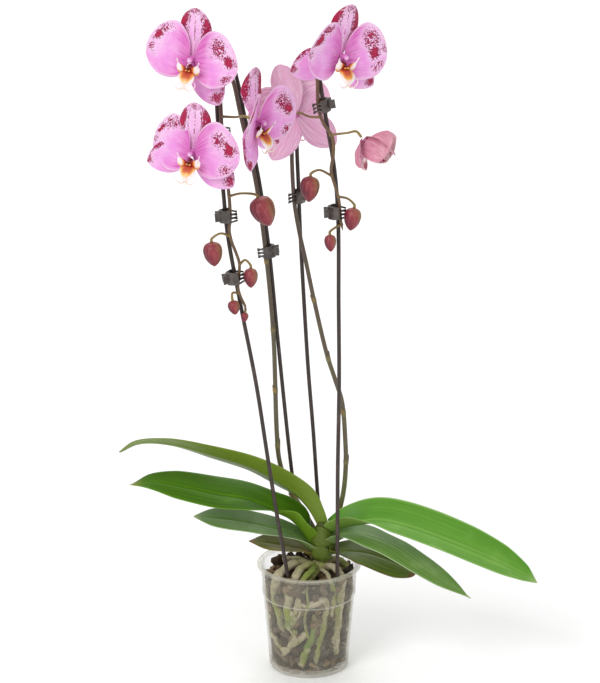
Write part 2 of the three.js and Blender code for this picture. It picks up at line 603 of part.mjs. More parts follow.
function sideLobe(mirror) {
  const { at, half, reach, bow, cup, from, sweep, rise, forward, upTilt, outTilt } = LIP.side;
  return (u, v) => {
    const wide = half * Math.sin(Math.PI * (0.12 + 0.76 * u)) ** 0.6;
    const lifted = rise * reach * u * Math.sin(rad(from + sweep * u));
    return new THREE.Vector3(
      mirror * (at[0] + bow * Math.sin(0.55 * Math.PI * u) + cup * v * v),
      at[1] + lifted + upTilt * v * wide,
      at[2] + forward * reach * u + outTilt * v * wide,
    );
  };
}

function middleLobe(u, v) {
  const { at, neck, half, length, bow, cup } = LIP.middle;
  const wide = neck + half * Math.sin(Math.PI * Math.min(0.92 * u + 0.1, 1)) ** 1.3;
  const depth = at[2] + bow * Math.sin(2.2 * u) - cup * v * v * (1 - u);
  return new THREE.Vector3(v * wide, at[1] - length * u, depth);
}

function lip() {
  const { sheet, foot, footRadii, rows, columns, tendril, tendrilRadii, tendrilSteps, tendrilSides } = LIP;
  const lobe = (surface) => blade(surface, rows, columns, () => sheet);
  const curl = (mirror) => tendril.map(([x, y, z]) => new THREE.Vector3(mirror * x, y, z));
  const parts = [
    ellipsoid(foot, footRadii, 5, 4),
    lobe(sideLobe(1)),
    lobe(sideLobe(-1)),
    lobe(middleLobe),
    ...[1, -1].map((mirror) => taperedRod(curl(mirror), tendrilRadii, tendrilSteps, tendrilSides)),
  ];
  return largestBody(joined(parts));
}

// The matrix that turns a bloom's own frame to where it faces. A smaller lip keeps its foot in place.
function facing({ at, yaw, pitch, roll }, scale = 1) {
  const shift = LIP.foot.map((offset) => offset * (1 - scale));
  const [y, p, r] = [yaw, pitch, roll].map(rad);
  const out = new THREE.Vector3(Math.sin(y) * Math.cos(p), -Math.cos(y) * Math.cos(p), Math.sin(p));
  const level = new THREE.Vector3(Math.cos(y), Math.sin(y), 0);
  const upright = out.clone().cross(level);
  const right = level.clone().multiplyScalar(Math.cos(r)).addScaledVector(upright, -Math.sin(r));
  const up = upright.multiplyScalar(Math.cos(r)).addScaledVector(level, Math.sin(r));
  const frame = new THREE.Matrix4().makeBasis(right, up, out).setPosition(...at);
  const kept = new THREE.Matrix4().makeTranslation(...shift);
  return frame.multiply(kept).scale(new THREE.Vector3(scale, scale, scale));
}

function placed(solid, matrix) {
  return solid.transform(matrix.toArray());
}

// ---------------------------------------------------------------- stems, stalks and buds
function stalkEnd(name) {
  if (BUDS[name]) return vec(BUDS[name].at);
  return new THREE.Vector3(0, 0, -STALK_SEAT - GAP).applyMatrix4(facing(BLOOMS[name]));
}

function stalkApproach(name) {
  if (!BUDS[name]) return new THREE.Vector3(0, 1, -STALK_RUN).applyMatrix4(facing(BLOOMS[name]));
  const { at, tip } = BUDS[name];
  return vec(at).sub(vec(tip)).setLength(2 * STALK.radii[0]).add(vec(at));
}

function stem({ route, radii, stalks }) {
  const main = taperedRod(route.map(vec), radii, STEM_STEPS, STEM_SIDES);
  const side = stalks.map(({ from, via, to }) => {
    const points = [vec(from), vec(via), stalkApproach(to), stalkEnd(to)];
    return taperedRod(points, STALK.radii, STALK.steps, STALK.sides);
  });
  return largestBody(clearOfHoops(joined([main, ...side]).subtract(crown(GAP))));
}

// A bud's outline from its stalk to its tip: [share of the length, share of the half width].
const BUD_OUTLINE = [[0.02, 0.42], [0.12, 0.82], [0.32, 1], [0.6, 0.9], [0.86, 0.52], [1, 0.12]];
const BUD_SIDES = 8;
const BUD_SEAM = 0.95;

function bud({ at, tip, width }) {
  const start = vec(at);
  const axis = vec(tip).sub(start);
  const length = axis.length() - GAP;
  const heading = new THREE.Quaternion().setFromUnitVectors(new THREE.Vector3(0, 0, 1), axis.normalize());
  return loft(BUD_OUTLINE.map(([place, share]) => Array.from({ length: BUD_SIDES }, (_, k) => {
    const turn = (TAU * k) / BUD_SIDES;
    const radius = 0.5 * width * share * (k % 2 === 0 ? BUD_SEAM : 1);
    const point = new THREE.Vector3(radius * Math.cos(turn), radius * Math.sin(turn), GAP + place * length);
    return point.applyQuaternion(heading).add(start);
  })));
}

// ---------------------------------------------------------------- clips
// The point of a curve at a height on its front or back leg, with the curve's heading there.
function pointAt(curve, leg, height) {
  const places = Array.from({ length: CLIP.search + 1 }, (_, i) => i / CLIP.search);
  const sameLeg = places.filter((t) => (curve.getPoint(t).y < CLIP.frontLimit) === (leg === 'front'));
  const off = (t) => Math.abs(curve.getPoint(t).z - height);
  const best = sameLeg.reduce((kept, t) => (off(t) < off(kept) ? t : kept));
  return { point: curve.getPoint(best), along: curve.getTangent(best) };
}

function clipFrame({ side, leg, height, heading, slide = 0, ease = CLIP.ease }) {
  const wire = pointAt(routeCurve(HOOPS[side]), leg, height);
  const stemPoint = pointAt(routeCurve(STEMS[side].route), leg, height).point;
  const up = wire.along.clone().multiplyScalar(Math.sign(wire.along.z));
  const across = new THREE.Vector3(Math.cos(rad(heading)), Math.sin(rad(heading)), 0);
  across.addScaledVector(up, -across.dot(up)).normalize();
  const out = up.clone().cross(across);
  const apart = stemPoint.clone().sub(wire.point);
  const centre = wire.point.clone().lerp(stemPoint, 0.5);
  const matrix = new THREE.Matrix4().makeBasis(across, out, up).setPosition(centre);
  const depth = Math.abs(apart.dot(out)) / 2 + HOOP_RADIUS + ease;
  return { matrix, spread: Math.abs(apart.dot(across)), slide, depth };
}

// A bent strip of the given corners, thickened away from the clip's middle.
function strip(corners, facet, low, high) {
  const inner = corners.map(([x, y]) => new THREE.Vector2(x, facet * y));
  const outer = corners.map(([x, y], i) => {
    const before = corners[Math.max(i - 1, 0)];
    const after = corners[Math.min(i + 1, corners.length - 1)];
    const along = new THREE.Vector2(after[0] - before[0], after[1] - before[1]).normalize();
    return new THREE.Vector2(x - along.y * CLIP.sheet, facet * (y + along.x * CLIP.sheet));
  });
  const outline = new THREE.Shape([...inner, ...outer.reverse()]);
  const geometry = new THREE.ExtrudeGeometry(outline, { depth: high - low, bevelEnabled: false });
  geometry.translate(0, 0, low);
  return solidOf(geometry);
}

// One jaw in the clip's frame: x from the grip to the teeth, z along the stem. facet is +1 for the jaw that
// holds the hinge pin and -1 for the other, whose teeth lie between.
function jaw(facet, { spread, depth, slide }) {
  const { height, length, pin, pinSides, gap, grip, gripShare, shoulder, flat, teeth, tooth } = CLIP;
  const hinge = slide - (spread / 2 + HOOP_RADIUS + pin + gap);
  const seat = facet > 0 ? pin - gap : pin + gap;
  const tip = hinge + length;
  const middle = (hinge + tip) / 2;
  const back = [[hinge - 0.6, seat], [middle - shoulder, depth], [middle + flat, depth]];
  const handle = [[hinge - grip, seat + 0.5 * grip], [hinge + 0.4, seat + 0.2]];
  const finger = [[middle + flat - 0.8, depth + 0.4], [tip, -0.4]];
  const parts = [
    strip(back, facet, -height / 2, height / 2),
    strip(handle, facet, (-gripShare * height) / 2, (gripShare * height) / 2),
  ];
  const pitch = height / (teeth + 0.5);
  for (let k = 0; k < teeth; k += 1) {
    const low = -height / 2 + pitch * (k + (facet > 0 ? 0.5 : 0));
    parts.push(strip(finger, facet, low, low + pitch * tooth));
  }
  if (facet > 0) {
    const rod = new THREE.CylinderGeometry(pin, pin, height, pinSides);
    rod.rotateX(Math.PI / 2);
    rod.translate(hinge - 0.3, 0, 0);
    parts.push(solidOf(rod));
  }
  return joined(parts);
}

// ---------------------------------------------------------------- assembly
add('pot', pot(), 0xdfe3dd, { roughness: 0.2, transparent: true, opacity: 0.35 });
add('bark', bark(), 0x6a5744, { roughness: 0.9 });
add('roots', roots(), 0xa9ab8a, { roughness: 0.8 });
add('crown', crown(), 0x6b8a33);
Object.entries(LEAVES).forEach(([name, form]) => add(name, leaf(form), form.colour, { roughness: 0.35 }));
Object.keys(HOOPS).forEach((side) => {
  add(`hoop_${side}`, hoop(side), 0x3b312f, { roughness: 0.5 });
});
Object.entries(STEMS).forEach(([side, form]) => add(`stem_${side}`, stem(form), 0x6a5040));
Object.entries(BLOOMS).forEach(([name, form]) => {
  add(name, placed(tepals(form), facing(form)), 0xe48ad6);
  add(`${name}_lip`, placed(lip(), facing(form, form.lipScale)), 0xd8683c);
});
Object.entries(BUDS).forEach(([name, form]) => add(name, bud(form), 0xb0556a));
Object.entries(CLIPS).forEach(([name, form]) => {
  const { matrix, ...fit } = clipFrame(form);
  add(`${name}_jaw_a`, placed(jaw(1, fit), matrix), 0x57504c);
  add(`${name}_jaw_b`, placed(jaw(-1, fit), matrix), 0x57504c);
});

export default orchid;
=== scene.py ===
"""Dresses the potted orchid: glossy leaves, spotted blooms and buds, bark and roots behind a clear pot."""

import logging
import math
from dataclasses import dataclass, field, replace
from enum import Enum

import bmesh
import bpy
import numpy as np
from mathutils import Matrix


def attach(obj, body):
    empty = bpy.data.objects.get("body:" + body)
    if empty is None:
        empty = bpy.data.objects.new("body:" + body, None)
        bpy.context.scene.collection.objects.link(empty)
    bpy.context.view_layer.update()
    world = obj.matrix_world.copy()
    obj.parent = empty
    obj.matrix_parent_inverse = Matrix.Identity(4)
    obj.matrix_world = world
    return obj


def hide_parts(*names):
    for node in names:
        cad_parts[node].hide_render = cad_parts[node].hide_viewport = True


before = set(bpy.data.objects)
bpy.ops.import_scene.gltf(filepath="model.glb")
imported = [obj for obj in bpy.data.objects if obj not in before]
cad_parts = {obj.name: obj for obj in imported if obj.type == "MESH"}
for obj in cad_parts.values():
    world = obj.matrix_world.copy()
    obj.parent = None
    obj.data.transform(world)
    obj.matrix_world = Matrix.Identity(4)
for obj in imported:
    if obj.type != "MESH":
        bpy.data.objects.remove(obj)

LOG = logging.getLogger("orchid")
MM = 0.001
TAU = 2 * math.pi
GOLDEN_TURN = 2.399963

Point = tuple[float, float, float]
Value = np.ndarray | float
Draw = np.random.Generator


# ---------------------------------------------------------------- small sums
def tint(code: str) -> tuple[float, float, float, float]:
    """Turns a six-digit screen colour, such as "c86aa0", into linear red, green, blue and one."""
    parts = [int(code[i:i + 2], 16) / 255 for i in (0, 2, 4)]
    return (*(c / 12.92 if c <= 0.04045 else ((c + 0.055) / 1.055) ** 2.4 for c in parts), 1.0)


def smooth(value: Value, low: float, high: float) -> Value:
    """Runs softly from 0 at low to 1 at high."""
    share = np.clip((value - low) / (high - low), 0.0, 1.0)
    return share * share * (3 - 2 * share)


def swell(away: Value, reach: float) -> Value:
    """Gives 1 at zero and falls off softly over that reach."""
    return np.exp(-((away / reach) ** 2))


def unit(vectors: np.ndarray) -> np.ndarray:
    """Scales vectors to length one along the last axis."""
    return vectors / np.maximum(np.linalg.norm(vectors, axis=-1, keepdims=True), 1e-9)


def circle(sides: int) -> np.ndarray:
    """Gives even turns round a circle."""
    return np.arange(sides) * TAU / sides


def weave(rows: int, columns: int) -> tuple[np.ndarray, np.ndarray]:
    """Gives the share along, 0 to 1, and across, -1 to 1, for a grid."""
    u, v = np.meshgrid(np.linspace(0, 1, rows), np.linspace(-1, 1, columns), indexing="ij")
    return u, v


def put(name: str, data: bpy.types.ID) -> bpy.types.Object:
    """Puts a new object into the scene.

    Args:
        name: Its name.
        data: Its mesh, light or camera.

    Returns:
        The object.
    """
    piece = bpy.data.objects.new(name, data)
    bpy.context.scene.collection.objects.link(piece)
    return piece


@dataclass(frozen=True)
class Route:
    """A smooth centripetal spline through points of any number of numbers."""

    points: tuple[tuple[float, ...], ...]

    def at(self, share: np.ndarray) -> np.ndarray:
        """Gives the spline's points.

        Args:
            share: Places from 0 at the first point to 1 at the last.

        Returns:
            One row for each place.
        """
        given = np.array(self.points, float)
        last = len(given) - 1
        padded = np.vstack([2 * given[0] - given[1], given, 2 * given[-1] - given[-2]])
        place = np.clip(share, 0, 1) * last
        span = np.minimum(place.astype(int), last - 1)
        w = (place - span)[:, None]
        p = [padded[span + k] for k in range(4)]
        d0, d1, d2 = (np.sqrt(np.linalg.norm(b - a, axis=1))[:, None] for a, b in zip(p, p[1:]))
        d0, d2 = np.where(d0 < 1e-4, d1, d0), np.where(d2 < 1e-4, d1, d2)
        step = p[2] - p[1]
        t1 = ((p[1] - p[0]) / d0 - (p[2] - p[0]) / (d0 + d1) + step / d1) * d1
        t2 = (step / d1 - (p[3] - p[1]) / (d1 + d2) + (p[3] - p[2]) / d2) * d1
        return p[1] + t1 * w + (3 * step - 2 * t1 - t2) * w**2 + (t1 + t2 - 2 * step) * w**3

    def heading(self, share: np.ndarray) -> np.ndarray:
        """Gives the spline's direction at each place."""
        return unit(self.at(np.clip(share + 1e-4, 0, 1)) - self.at(np.clip(share - 1e-4, 0, 1)))

    def even(self, count: int) -> np.ndarray:
        """Gives points at even distances along the spline.

        Args:
            count: How many.

        Returns:
            One row for each point.
        """
        fine = np.linspace(0, 1, 24 * len(self.points))
        steps = np.linalg.norm(np.diff(self.at(fine), axis=0), axis=1)
        run = np.concatenate([[0.0], np.cumsum(steps)])
        return self.at(np.interp(np.linspace(0, run[-1], count), run, fine))


# ---------------------------------------------------------------- meshes
@dataclass
class Skin:
    """Points, faces and named point values of one piece, in millimetres."""

    points: list[np.ndarray] = field(default_factory=list)
    faces: list[tuple[int, ...]] = field(default_factory=list)
    values: list[dict[str, np.ndarray]] = field(default_factory=list)
    count: int = 0

    def patch(self, points: np.ndarray, faces: list[tuple[int, ...]], **values: Value) -> None:
        """Adds a patch of surface.

        Args:
            points: Rows of three, in one or two axes.
            faces: Corners of each face, counted within the patch.
            **values: Numbers that fit the points, or one for all, under the name that a finish reads.
        """
        shape = points.shape[:-1]
        self.points.append(points.reshape(-1, 3))
        self.faces.extend(tuple(self.count + k for k in face) for face in faces)
        spread = {name: np.broadcast_to(value, shape).reshape(-1) for name, value in values.items()}
        self.values.append(spread)
        self.count += len(self.points[-1])

    def sheet(self, grid: np.ndarray, thickness: Value, **values: Value) -> None:
        """Adds a thin sheet on both sides of a grid of points.

        Args:
            grid: Rows by columns by three.
            thickness: The sheet's thickness at each point, or one for all.
            **values: Rows by columns, or one number, for each named value.
        """
        rows, columns = grid.shape[:2]
        face_up = unit(np.cross(np.gradient(grid, axis=0), np.gradient(grid, axis=1)))
        lift = face_up * np.broadcast_to(thickness, (rows, columns))[..., None] / 2
        other = rows * columns
        faces: list[tuple[int, ...]] = []
        for a in (i * columns + j for i in range(rows - 1) for j in range(columns - 1)):
            faces.append((a, a + columns, a + columns + 1, a + 1))
            faces.append((other + a, other + a + 1, other + a + columns + 1, other + a + columns))
        rim = [*range(columns - 1), *(i * columns + columns - 1 for i in range(rows - 1))]
        rim += [*((rows - 1) * columns + j for j in range(columns - 1, 0, -1))]
        rim += [*(i * columns for i in range(rows - 1, 0, -1))]
        faces += [(a, b, other + b, other + a) for a, b in zip(rim, rim[1:] + rim[:1])]
        front = np.array([1.0, 0.0])[:, None, None]
        self.patch(np.stack([grid + lift, grid - lift]), faces, front=front, **values)

    def rings(self, rings: np.ndarray, **values: Value) -> None:
        """Adds a stack of rings, closed at both ends.

        Args:
            rings: Ring by point by three.
            **values: Numbers that fit the rings, or one for all.
        """
        count, sides = rings.shape[:2]
        faces = [tuple(range(sides - 1, -1, -1)), tuple((count - 1) * sides + j for j in range(sides))]
        for i in range(0, (count - 1) * sides, sides):
            for j in range(sides):
                k = (j + 1) % sides
                faces.append((i + j, i + k, i + sides + k, i + sides + j))
        self.patch(rings, faces, **values)

    def tube(self, path: np.ndarray, radii: Value, sides: int, **values: Value) -> None:
        """Adds a round rod along a path, closed at both ends.

        Args:
            path: The rod's middle line, one row for each ring.
            radii: The radius at each ring, or one for all.
            sides: Points in each ring.
            **values: A number for each ring, or one for all.
        """
        along = unit(np.gradient(path, axis=0))
        side = unit(np.cross(along[0], [0.0, 0.0, 1.0] if abs(along[0][2]) < 0.9 else [1.0, 0.0, 0.0]))
        turn = circle(sides)[:, None]
        rings = []
        for centre, heading, radius in zip(path, along, np.broadcast_to(radii, (len(path),))):
            side = unit(side - heading * float(side @ heading))
            rings.append(centre + radius * (np.cos(turn) * side + np.sin(turn) * np.cross(heading, side)))
        self.rings(np.array(rings), **{name: np.reshape(value, (-1, 1)) for name, value in values.items()})

    def lathe(self, profile: np.ndarray, sides: int, **values: Value) -> None:
        """Adds a closed turned wall.

        Args:
            profile: Radius and height pairs that go once round the wall's section.
            sides: Steps round the axis.
            **values: A number for each profile point, or one for all.
        """
        turn, count = circle(sides), len(profile)
        radius, height = profile[:, :1], np.repeat(profile[:, 1:2], sides, axis=1)
        points = np.stack([radius * np.cos(turn), radius * np.sin(turn), height], axis=-1)
        faces = []
        for i in range(count):
            low, high = i * sides, (i + 1) % count * sides
            for j in range(sides):
                k = (j + 1) % sides
                faces.append((low + j, low + k, high + k, high + j))
        self.patch(points, faces, **{name: np.reshape(value, (-1, 1)) for name, value in values.items()})

    def lump(self, axes: np.ndarray, centre: np.ndarray, bands: int, sides: int, **values: float) -> None:
        """Adds a rounded lump.

        Args:
            axes: Three rows, the lump's half axes.
            centre: Its middle.
            bands: Rings from pole to pole.
            sides: Points in each ring.
            **values: One number for each named value.
        """
        fall = np.linspace(0.04, math.pi - 0.04, bands)[:, None]
        turn = circle(sides)[None, :]
        level = np.broadcast_to(-np.cos(fall), (bands, sides))
        ball = np.stack([np.sin(fall) * np.cos(turn), np.sin(fall) * np.sin(turn), level], axis=-1)
        self.rings(ball @ axes + centre, **values)

    def bare(self, name: str, flat: bool) -> bpy.types.Object:
        """Makes the object with its point values.

        Args:
            name: Its name.
            flat: True for flat faces.

        Returns:
            The object, without a finish.
        """
        mesh = bpy.data.meshes.new(name)
        mesh.from_pydata((np.concatenate(self.points) * MM).tolist(), [], self.faces)
        for key in sorted({key for given in self.values for key in given}):
            parts = [given.get(key, np.zeros(len(part))) for given, part in zip(self.values, self.points)]
            column = np.concatenate(parts).astype(np.float32)
            mesh.attributes.new(key, "FLOAT", "POINT").data.foreach_set("value", column)
        mesh.polygons.foreach_set("use_smooth", [not flat] * len(mesh.polygons))
        mesh.update()
        return put(name, mesh)

    def build(self, name: str, node: str, slot: str, finish: "Finish",
              flat: bool = False) -> bpy.types.Object:
        """Makes the piece, dresses it, lets it ride on the plant and names what it stands for.

        Args:
            name: The piece's name.
            node: The plain solid that it stands for.
            slot: The record's material slot; not used.
            finish: What it is dressed in.
            flat: True for chips with flat faces.

        Returns:
            The piece.
        """
        piece = self.bare(name, flat)
        piece.data.materials.append(finish.material())
        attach(piece, "root")
        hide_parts(node)
        LOG.info("%s: %d points, stands for %s", piece.name, self.count, node)
        return piece


# ---------------------------------------------------------------- finishes
@dataclass(frozen=True)
class Layer:
    """An amount or a colour in a material's nodes; amounts add, subtract and multiply."""

    tree: bpy.types.NodeTree
    socket: bpy.types.NodeSocket

    def sums(self, kind: str, other: "Layer | float" = 0.0) -> "Layer":
        """Joins two amounts.

        Args:
            kind: The kind of sum.
            other: The second amount.

        Returns:
            The result.
        """
        node = self.tree.nodes.new("ShaderNodeMath")
        node.operation = kind
        feed(self.tree, node.inputs[0], self)
        feed(self.tree, node.inputs[1], other)
        return Layer(self.tree, node.outputs[0])

    def __add__(self, other: "Layer | float") -> "Layer":
        """Adds an amount."""
        return self.sums("ADD", other)

    def __sub__(self, other: "Layer | float") -> "Layer":
        """Takes an amount away."""
        return self.sums("SUBTRACT", other)

    def __mul__(self, other: "Layer | float") -> "Layer":
        """Multiplies by an amount."""
        return self.sums("MULTIPLY", other)

    def ease(self, low: float, high: float, start: float = 0.0, end: float = 1.0) -> "Layer":
        """Eases an amount.

        Args:
            low: Where the result leaves start.
            high: Where it reaches end.
            start: The result below low.
            end: The result above high.

        Returns:
            The eased amount.
        """
        node = self.tree.nodes.new("ShaderNodeMapRange")
        node.interpolation_type = "SMOOTHSTEP"
        for socket, given in zip(node.inputs, (self, low, high, start, end)):
            feed(self.tree, socket, given)
        return Layer(self.tree, node.outputs[0])

    def bands(self, *stops: tuple[float, str]) -> "Layer":
        """Turns an amount into colour.

        Args:
            *stops: Places and screen colours, at least two.

        Returns:
            The colour.
        """
        node = self.tree.nodes.new("ShaderNodeValToRGB")
        feed(self.tree, node.inputs[0], self)
        marks = node.color_ramp.elements
        marks[0].position, marks[1].position = stops[0][0], stops[-1][0]
        marks[0].color, marks[1].color = tint(stops[0][1]), tint(stops[-1][1])
        for place, code in stops[1:-1]:
            marks.new(place).color = tint(code)
        return Layer(self.tree, node.outputs[0])


Amount = Layer | float
Paint = Layer | str


def feed(tree: bpy.types.NodeTree, target: bpy.types.NodeSocket, value: Amount | str) -> None:
    """Links a socket, or sets its value.

    Args:
        tree: The material's nodes.
        target: The socket that is fed.
        value: A layer, a number or a screen colour.
    """
    if isinstance(value, Layer):
        tree.links.new(value.socket, target)
    else:
        target.default_value = tint(value) if isinstance(value, str) else value


class Bench:
    """A material with one shader, and short calls for the nodes that the finishes share."""

    def __init__(self, name: str) -> None:
        """Starts a material.

        Args:
            name: The material's name.
        """
        self.material = bpy.data.materials.new(name)
        self.material.use_nodes = True
        self.tree = self.material.node_tree
        self.tree.nodes.clear()
        self.shader = self.tree.nodes.new("ShaderNodeBsdfPrincipled")
        output = self.tree.nodes.new("ShaderNodeOutputMaterial")
        self.tree.links.new(self.shader.outputs[0], output.inputs[0])
        self.place = Layer(self.tree, self.tree.nodes.new("ShaderNodeTexCoord").outputs["Object"])

    def node(self, kind: str, output: int | str, **inputs: Amount | str) -> Layer:
        """Adds a node.

        Args:
            kind: Its type, without ShaderNode.
            output: The output that is used.
            **inputs: Its inputs' values.

        Returns:
            The output.
        """
        node = self.tree.nodes.new(f"ShaderNode{kind}")
        for name, value in inputs.items():
            feed(self.tree, node.inputs[name], value)
        return Layer(self.tree, node.outputs[output])

    def set(self, **sockets: Amount | str) -> None:
        """Sets or links the shader's own sockets, named with _ for a space."""
        for name, value in sockets.items():
            feed(self.tree, self.shader.inputs[name.replace("_", " ")], value)

    def value(self, name: str) -> Layer:
        """Reads one of the mesh's point values.

        Args:
            name: Its name.

        Returns:
            The value.
        """
        node = self.tree.nodes.new("ShaderNodeAttribute")
        node.attribute_name = name
        return Layer(self.tree, node.outputs["Fac"])

    def spread(self, x: Amount, y: Amount, z: Amount = 0.0) -> Layer:
        """Makes a texture place out of three amounts."""
        return self.node("CombineXYZ", 0, X=x, Y=y, Z=z)

    def grain(self, scale: float, detail: float = 3.0, rough: float = 0.55,
              place: Layer | None = None) -> Layer:
        """Gives a cloudy noise of about 0.5, per metre of the object unless a place is given."""
        place = place or self.place
        return self.node("TexNoise", 0, Vector=place, Scale=scale, Detail=detail, Roughness=rough)

    def sway(self, scale: float, detail: float, most: float) -> Layer:
        """Gives a cloudy noise about zero."""
        return (self.grain(scale, detail, 0.6) - 0.5) * most

    def cells(self, scale: float, place: Layer | None = None) -> Layer:
        """Gives the distance to the nearest of many scattered points."""
        return self.node("TexVoronoi", "Distance", Vector=place or self.place, Scale=scale)

    def coat(self, colour: Paint, *layers: tuple[Amount, Paint]) -> Layer:
        """Lays colours over a colour, one after the other.

        Args:
            colour: The lowest.
            *layers: How much of each next one covers, and its colour.

        Returns:
            The mixed colour.
        """
        for cover, tone in layers:
            node = self.tree.nodes.new("ShaderNodeMix")
            node.data_type = "RGBA"
            for socket, given in ((0, cover), (6, colour), (7, tone)):
                feed(self.tree, node.inputs[socket], given)
            colour = Layer(self.tree, node.outputs[2])
        return colour

    def relief(self, height: Layer, depth_mm: float, strength: float) -> None:
        """Gives the shader a fine relief of that depth."""
        self.set(Normal=self.node("Bump", 0, Strength=strength, Distance=depth_mm * MM, Height=height))


class Finish:
    """What a piece is dressed in."""

    def dress(self) -> Bench:
        """Makes a fresh bench with the finish's nodes."""
        raise NotImplementedError

    def material(self) -> bpy.types.Material:
        """Gives a fresh material."""
        return self.dress().material


@dataclass(frozen=True)
class PetalFinish(Finish):
    """Satin petal skin: pink-lilac with a pale rim, fine veins and crimson blotches that break up into dots.

    It reads along, across, serial, blush, pale, rim, blotch and front.
    """

    name: str = "petal_skin"
    pale: str = "f0d6ea"
    light: str = "f0b4e6"
    pink: str = "e693da"
    deep: str = "cc4fa8"
    crimson: str = "ae003f"
    maroon: str = "82083a"
    back: str = "f3cfe0"
    back_vein: str = "e4accb"
    dots: tuple[float, float] = (31.0, 21.0)
    stain: float = 0.94

    def dress(self) -> Bench:
        """Mixes the petal's face and back, and lays the dots over them.

        Returns:
            The bench.
        """
        bench = Bench(self.name)
        along, across, serial = (bench.value(name) for name in ("along", "across", "serial"))
        blotch, front = bench.value("blotch"), bench.value("front")
        vein = bench.grain(1.0, 2.0, 0.6, bench.spread(along * 1.6, across * 13.0, serial)).ease(0.44, 0.62)
        mottle = bench.grain(800.0, 3.0, 0.65)
        ground = bench.coat(
            self.pink,
            (bench.grain(70.0).ease(0.36, 0.74), self.light),
            (vein * 0.45, self.pink),
            (bench.value("blush") * vein.ease(0.0, 1.0, 0.55, 1.0), self.deep),
            (bench.value("pale") * mottle.ease(0.36, 0.62, 0.15, 0.95), self.pale),
            (bench.value("rim") * mottle.ease(0.3, 0.7, 0.5, 1.0), self.pale),
        )
        dots = bench.cells(1.0, bench.spread(along * self.dots[0], across * self.dots[1], serial))
        reach = (blotch + bench.sway(170.0, 3.0, 0.9) * blotch.ease(0.02, 0.3)) * self.stain - dots
        colour = bench.coat(
            ground,
            (front.ease(0.0, 1.0, 0.85, 0.0), bench.coat(self.back_vein, (vein, self.back))),
            (reach.ease(-0.03, 0.03) * front.ease(0.0, 1.0, 0.15, 0.97),
             bench.coat(self.maroon, (reach.ease(0.05, 0.5), self.crimson))),
        )
        bench.set(Base_Color=colour, Roughness=0.5, Specular_IOR_Level=0.22)
        bench.set(Subsurface_Weight=0.06, Subsurface_Scale=0.002)
        bench.relief(vein * 0.7 + mottle * 0.4, 0.16, 0.7)
        return bench


class LipFinish(Finish):
    """Waxy lip skin by the value warmth: white, yellow, orange-red and a dark throat."""

    def dress(self) -> Bench:
        """Mixes the bands and speckles them.

        Returns:
            The bench.
        """
        bench = Bench("lip_skin")
        warmth = bench.value("warmth") + bench.sway(420.0, 3.0, 0.28)
        colour = warmth.bands(
            (0.0, "f8eeee"), (0.14, "f5d9cf"), (0.26, "edb74e"), (0.38, "e08a48"), (0.52, "cf5a30"),
            (0.72, "a3261c"), (1.0, "4a0610"),
        )
        speckles = bench.cells(1100.0).ease(0.16, 0.3, 0.55, 0.0) * warmth.ease(0.22, 0.5)
        bench.set(Base_Color=bench.coat(colour, (speckles, "8e1020")), Roughness=0.34, Coat_Weight=0.08)
        bench.set(Subsurface_Weight=0.08, Subsurface_Scale=0.001)
        bench.relief(bench.grain(1200.0, 2.0), 0.1, 0.5)
        return bench


@dataclass(frozen=True)
class LeafFinish(Finish):
    """Thick waxy leaf skin: lengthwise streaks, painted shade in the rib's groove and on the far half of the
    fold, a painted highlight along the rib's banks, a lit edge and a dull underside.

    It reads along, across and front.
    """

    name: str
    main: str
    dark: str
    light: str
    under: str
    edge: str
    tip: str
    # rib: how strong the painted shade in the midrib's groove is
    rib: float = 0.3
    tip_share: float = 0.5
    gloss: float = 0.4

    def dress(self) -> Bench:
        """Lays streaks, painted shade on the far half and in the rib, a painted highlight beside the rib,
        edge, worn tip and flecks over the leaf's green.

        Returns:
            The bench.
        """
        bench = Bench(f"leaf_skin_{self.name}")
        along, across = bench.value("along"), bench.value("across")
        wide = across.sums("ABSOLUTE")
        streak = bench.grain(1.0, 3.0, 0.6, bench.spread(along * 2.2, across * 9.0))
        lines = bench.grain(1.0, 2.0, 0.5, bench.spread(along * 9.0, across * 60.0))
        under = bench.coat(self.under, (streak.ease(0.3, 0.7, 0.0, 0.5), self.main))
        colour = bench.coat(
            self.dark,
            (streak.ease(0.36, 0.66), self.main),
            (bench.grain(24.0).ease(0.5, 0.78, 0.0, 0.6), self.light),
            (lines.ease(0.42, 0.7, 0.0, 0.22), self.light),
            # painted shade: the half of the blade with positive across, the far half of the fold, and the
            # back of the crown are darkened
            (across.ease(-0.5, 0.7, 0.0, 0.5), self.dark),
            # painted shade in the midrib's groove, where the blade is creased
            (wide.ease(0.015, 0.07, self.rib, 0.0), self.dark),
            # painted highlight on both banks of the midrib
            ((wide - 0.12).sums("ABSOLUTE").ease(0.0, 0.08, 0.4, 0.0), self.light),
            (wide.ease(0.93, 0.995, 0.0, 0.75), self.edge),
            ((along + (streak - 0.5) * 0.3).ease(0.86, 1.0, 0.0, self.tip_share), self.tip),
            (bench.cells(240.0).ease(0.04, 0.1, 0.14, 0.0), self.dark),
            (bench.value("front").ease(0.0, 1.0, 0.85, 0.0), under),
        )
        bench.set(Base_Color=colour, Roughness=streak.ease(0.3, 0.7, self.gloss - 0.06, self.gloss + 0.14))
        bench.set(Coat_Weight=0.05, Coat_Roughness=0.2, Specular_IOR_Level=0.24)
        bench.relief(lines * 0.6 + bench.grain(300.0, 2.0), 0.22, 0.6)
        return bench


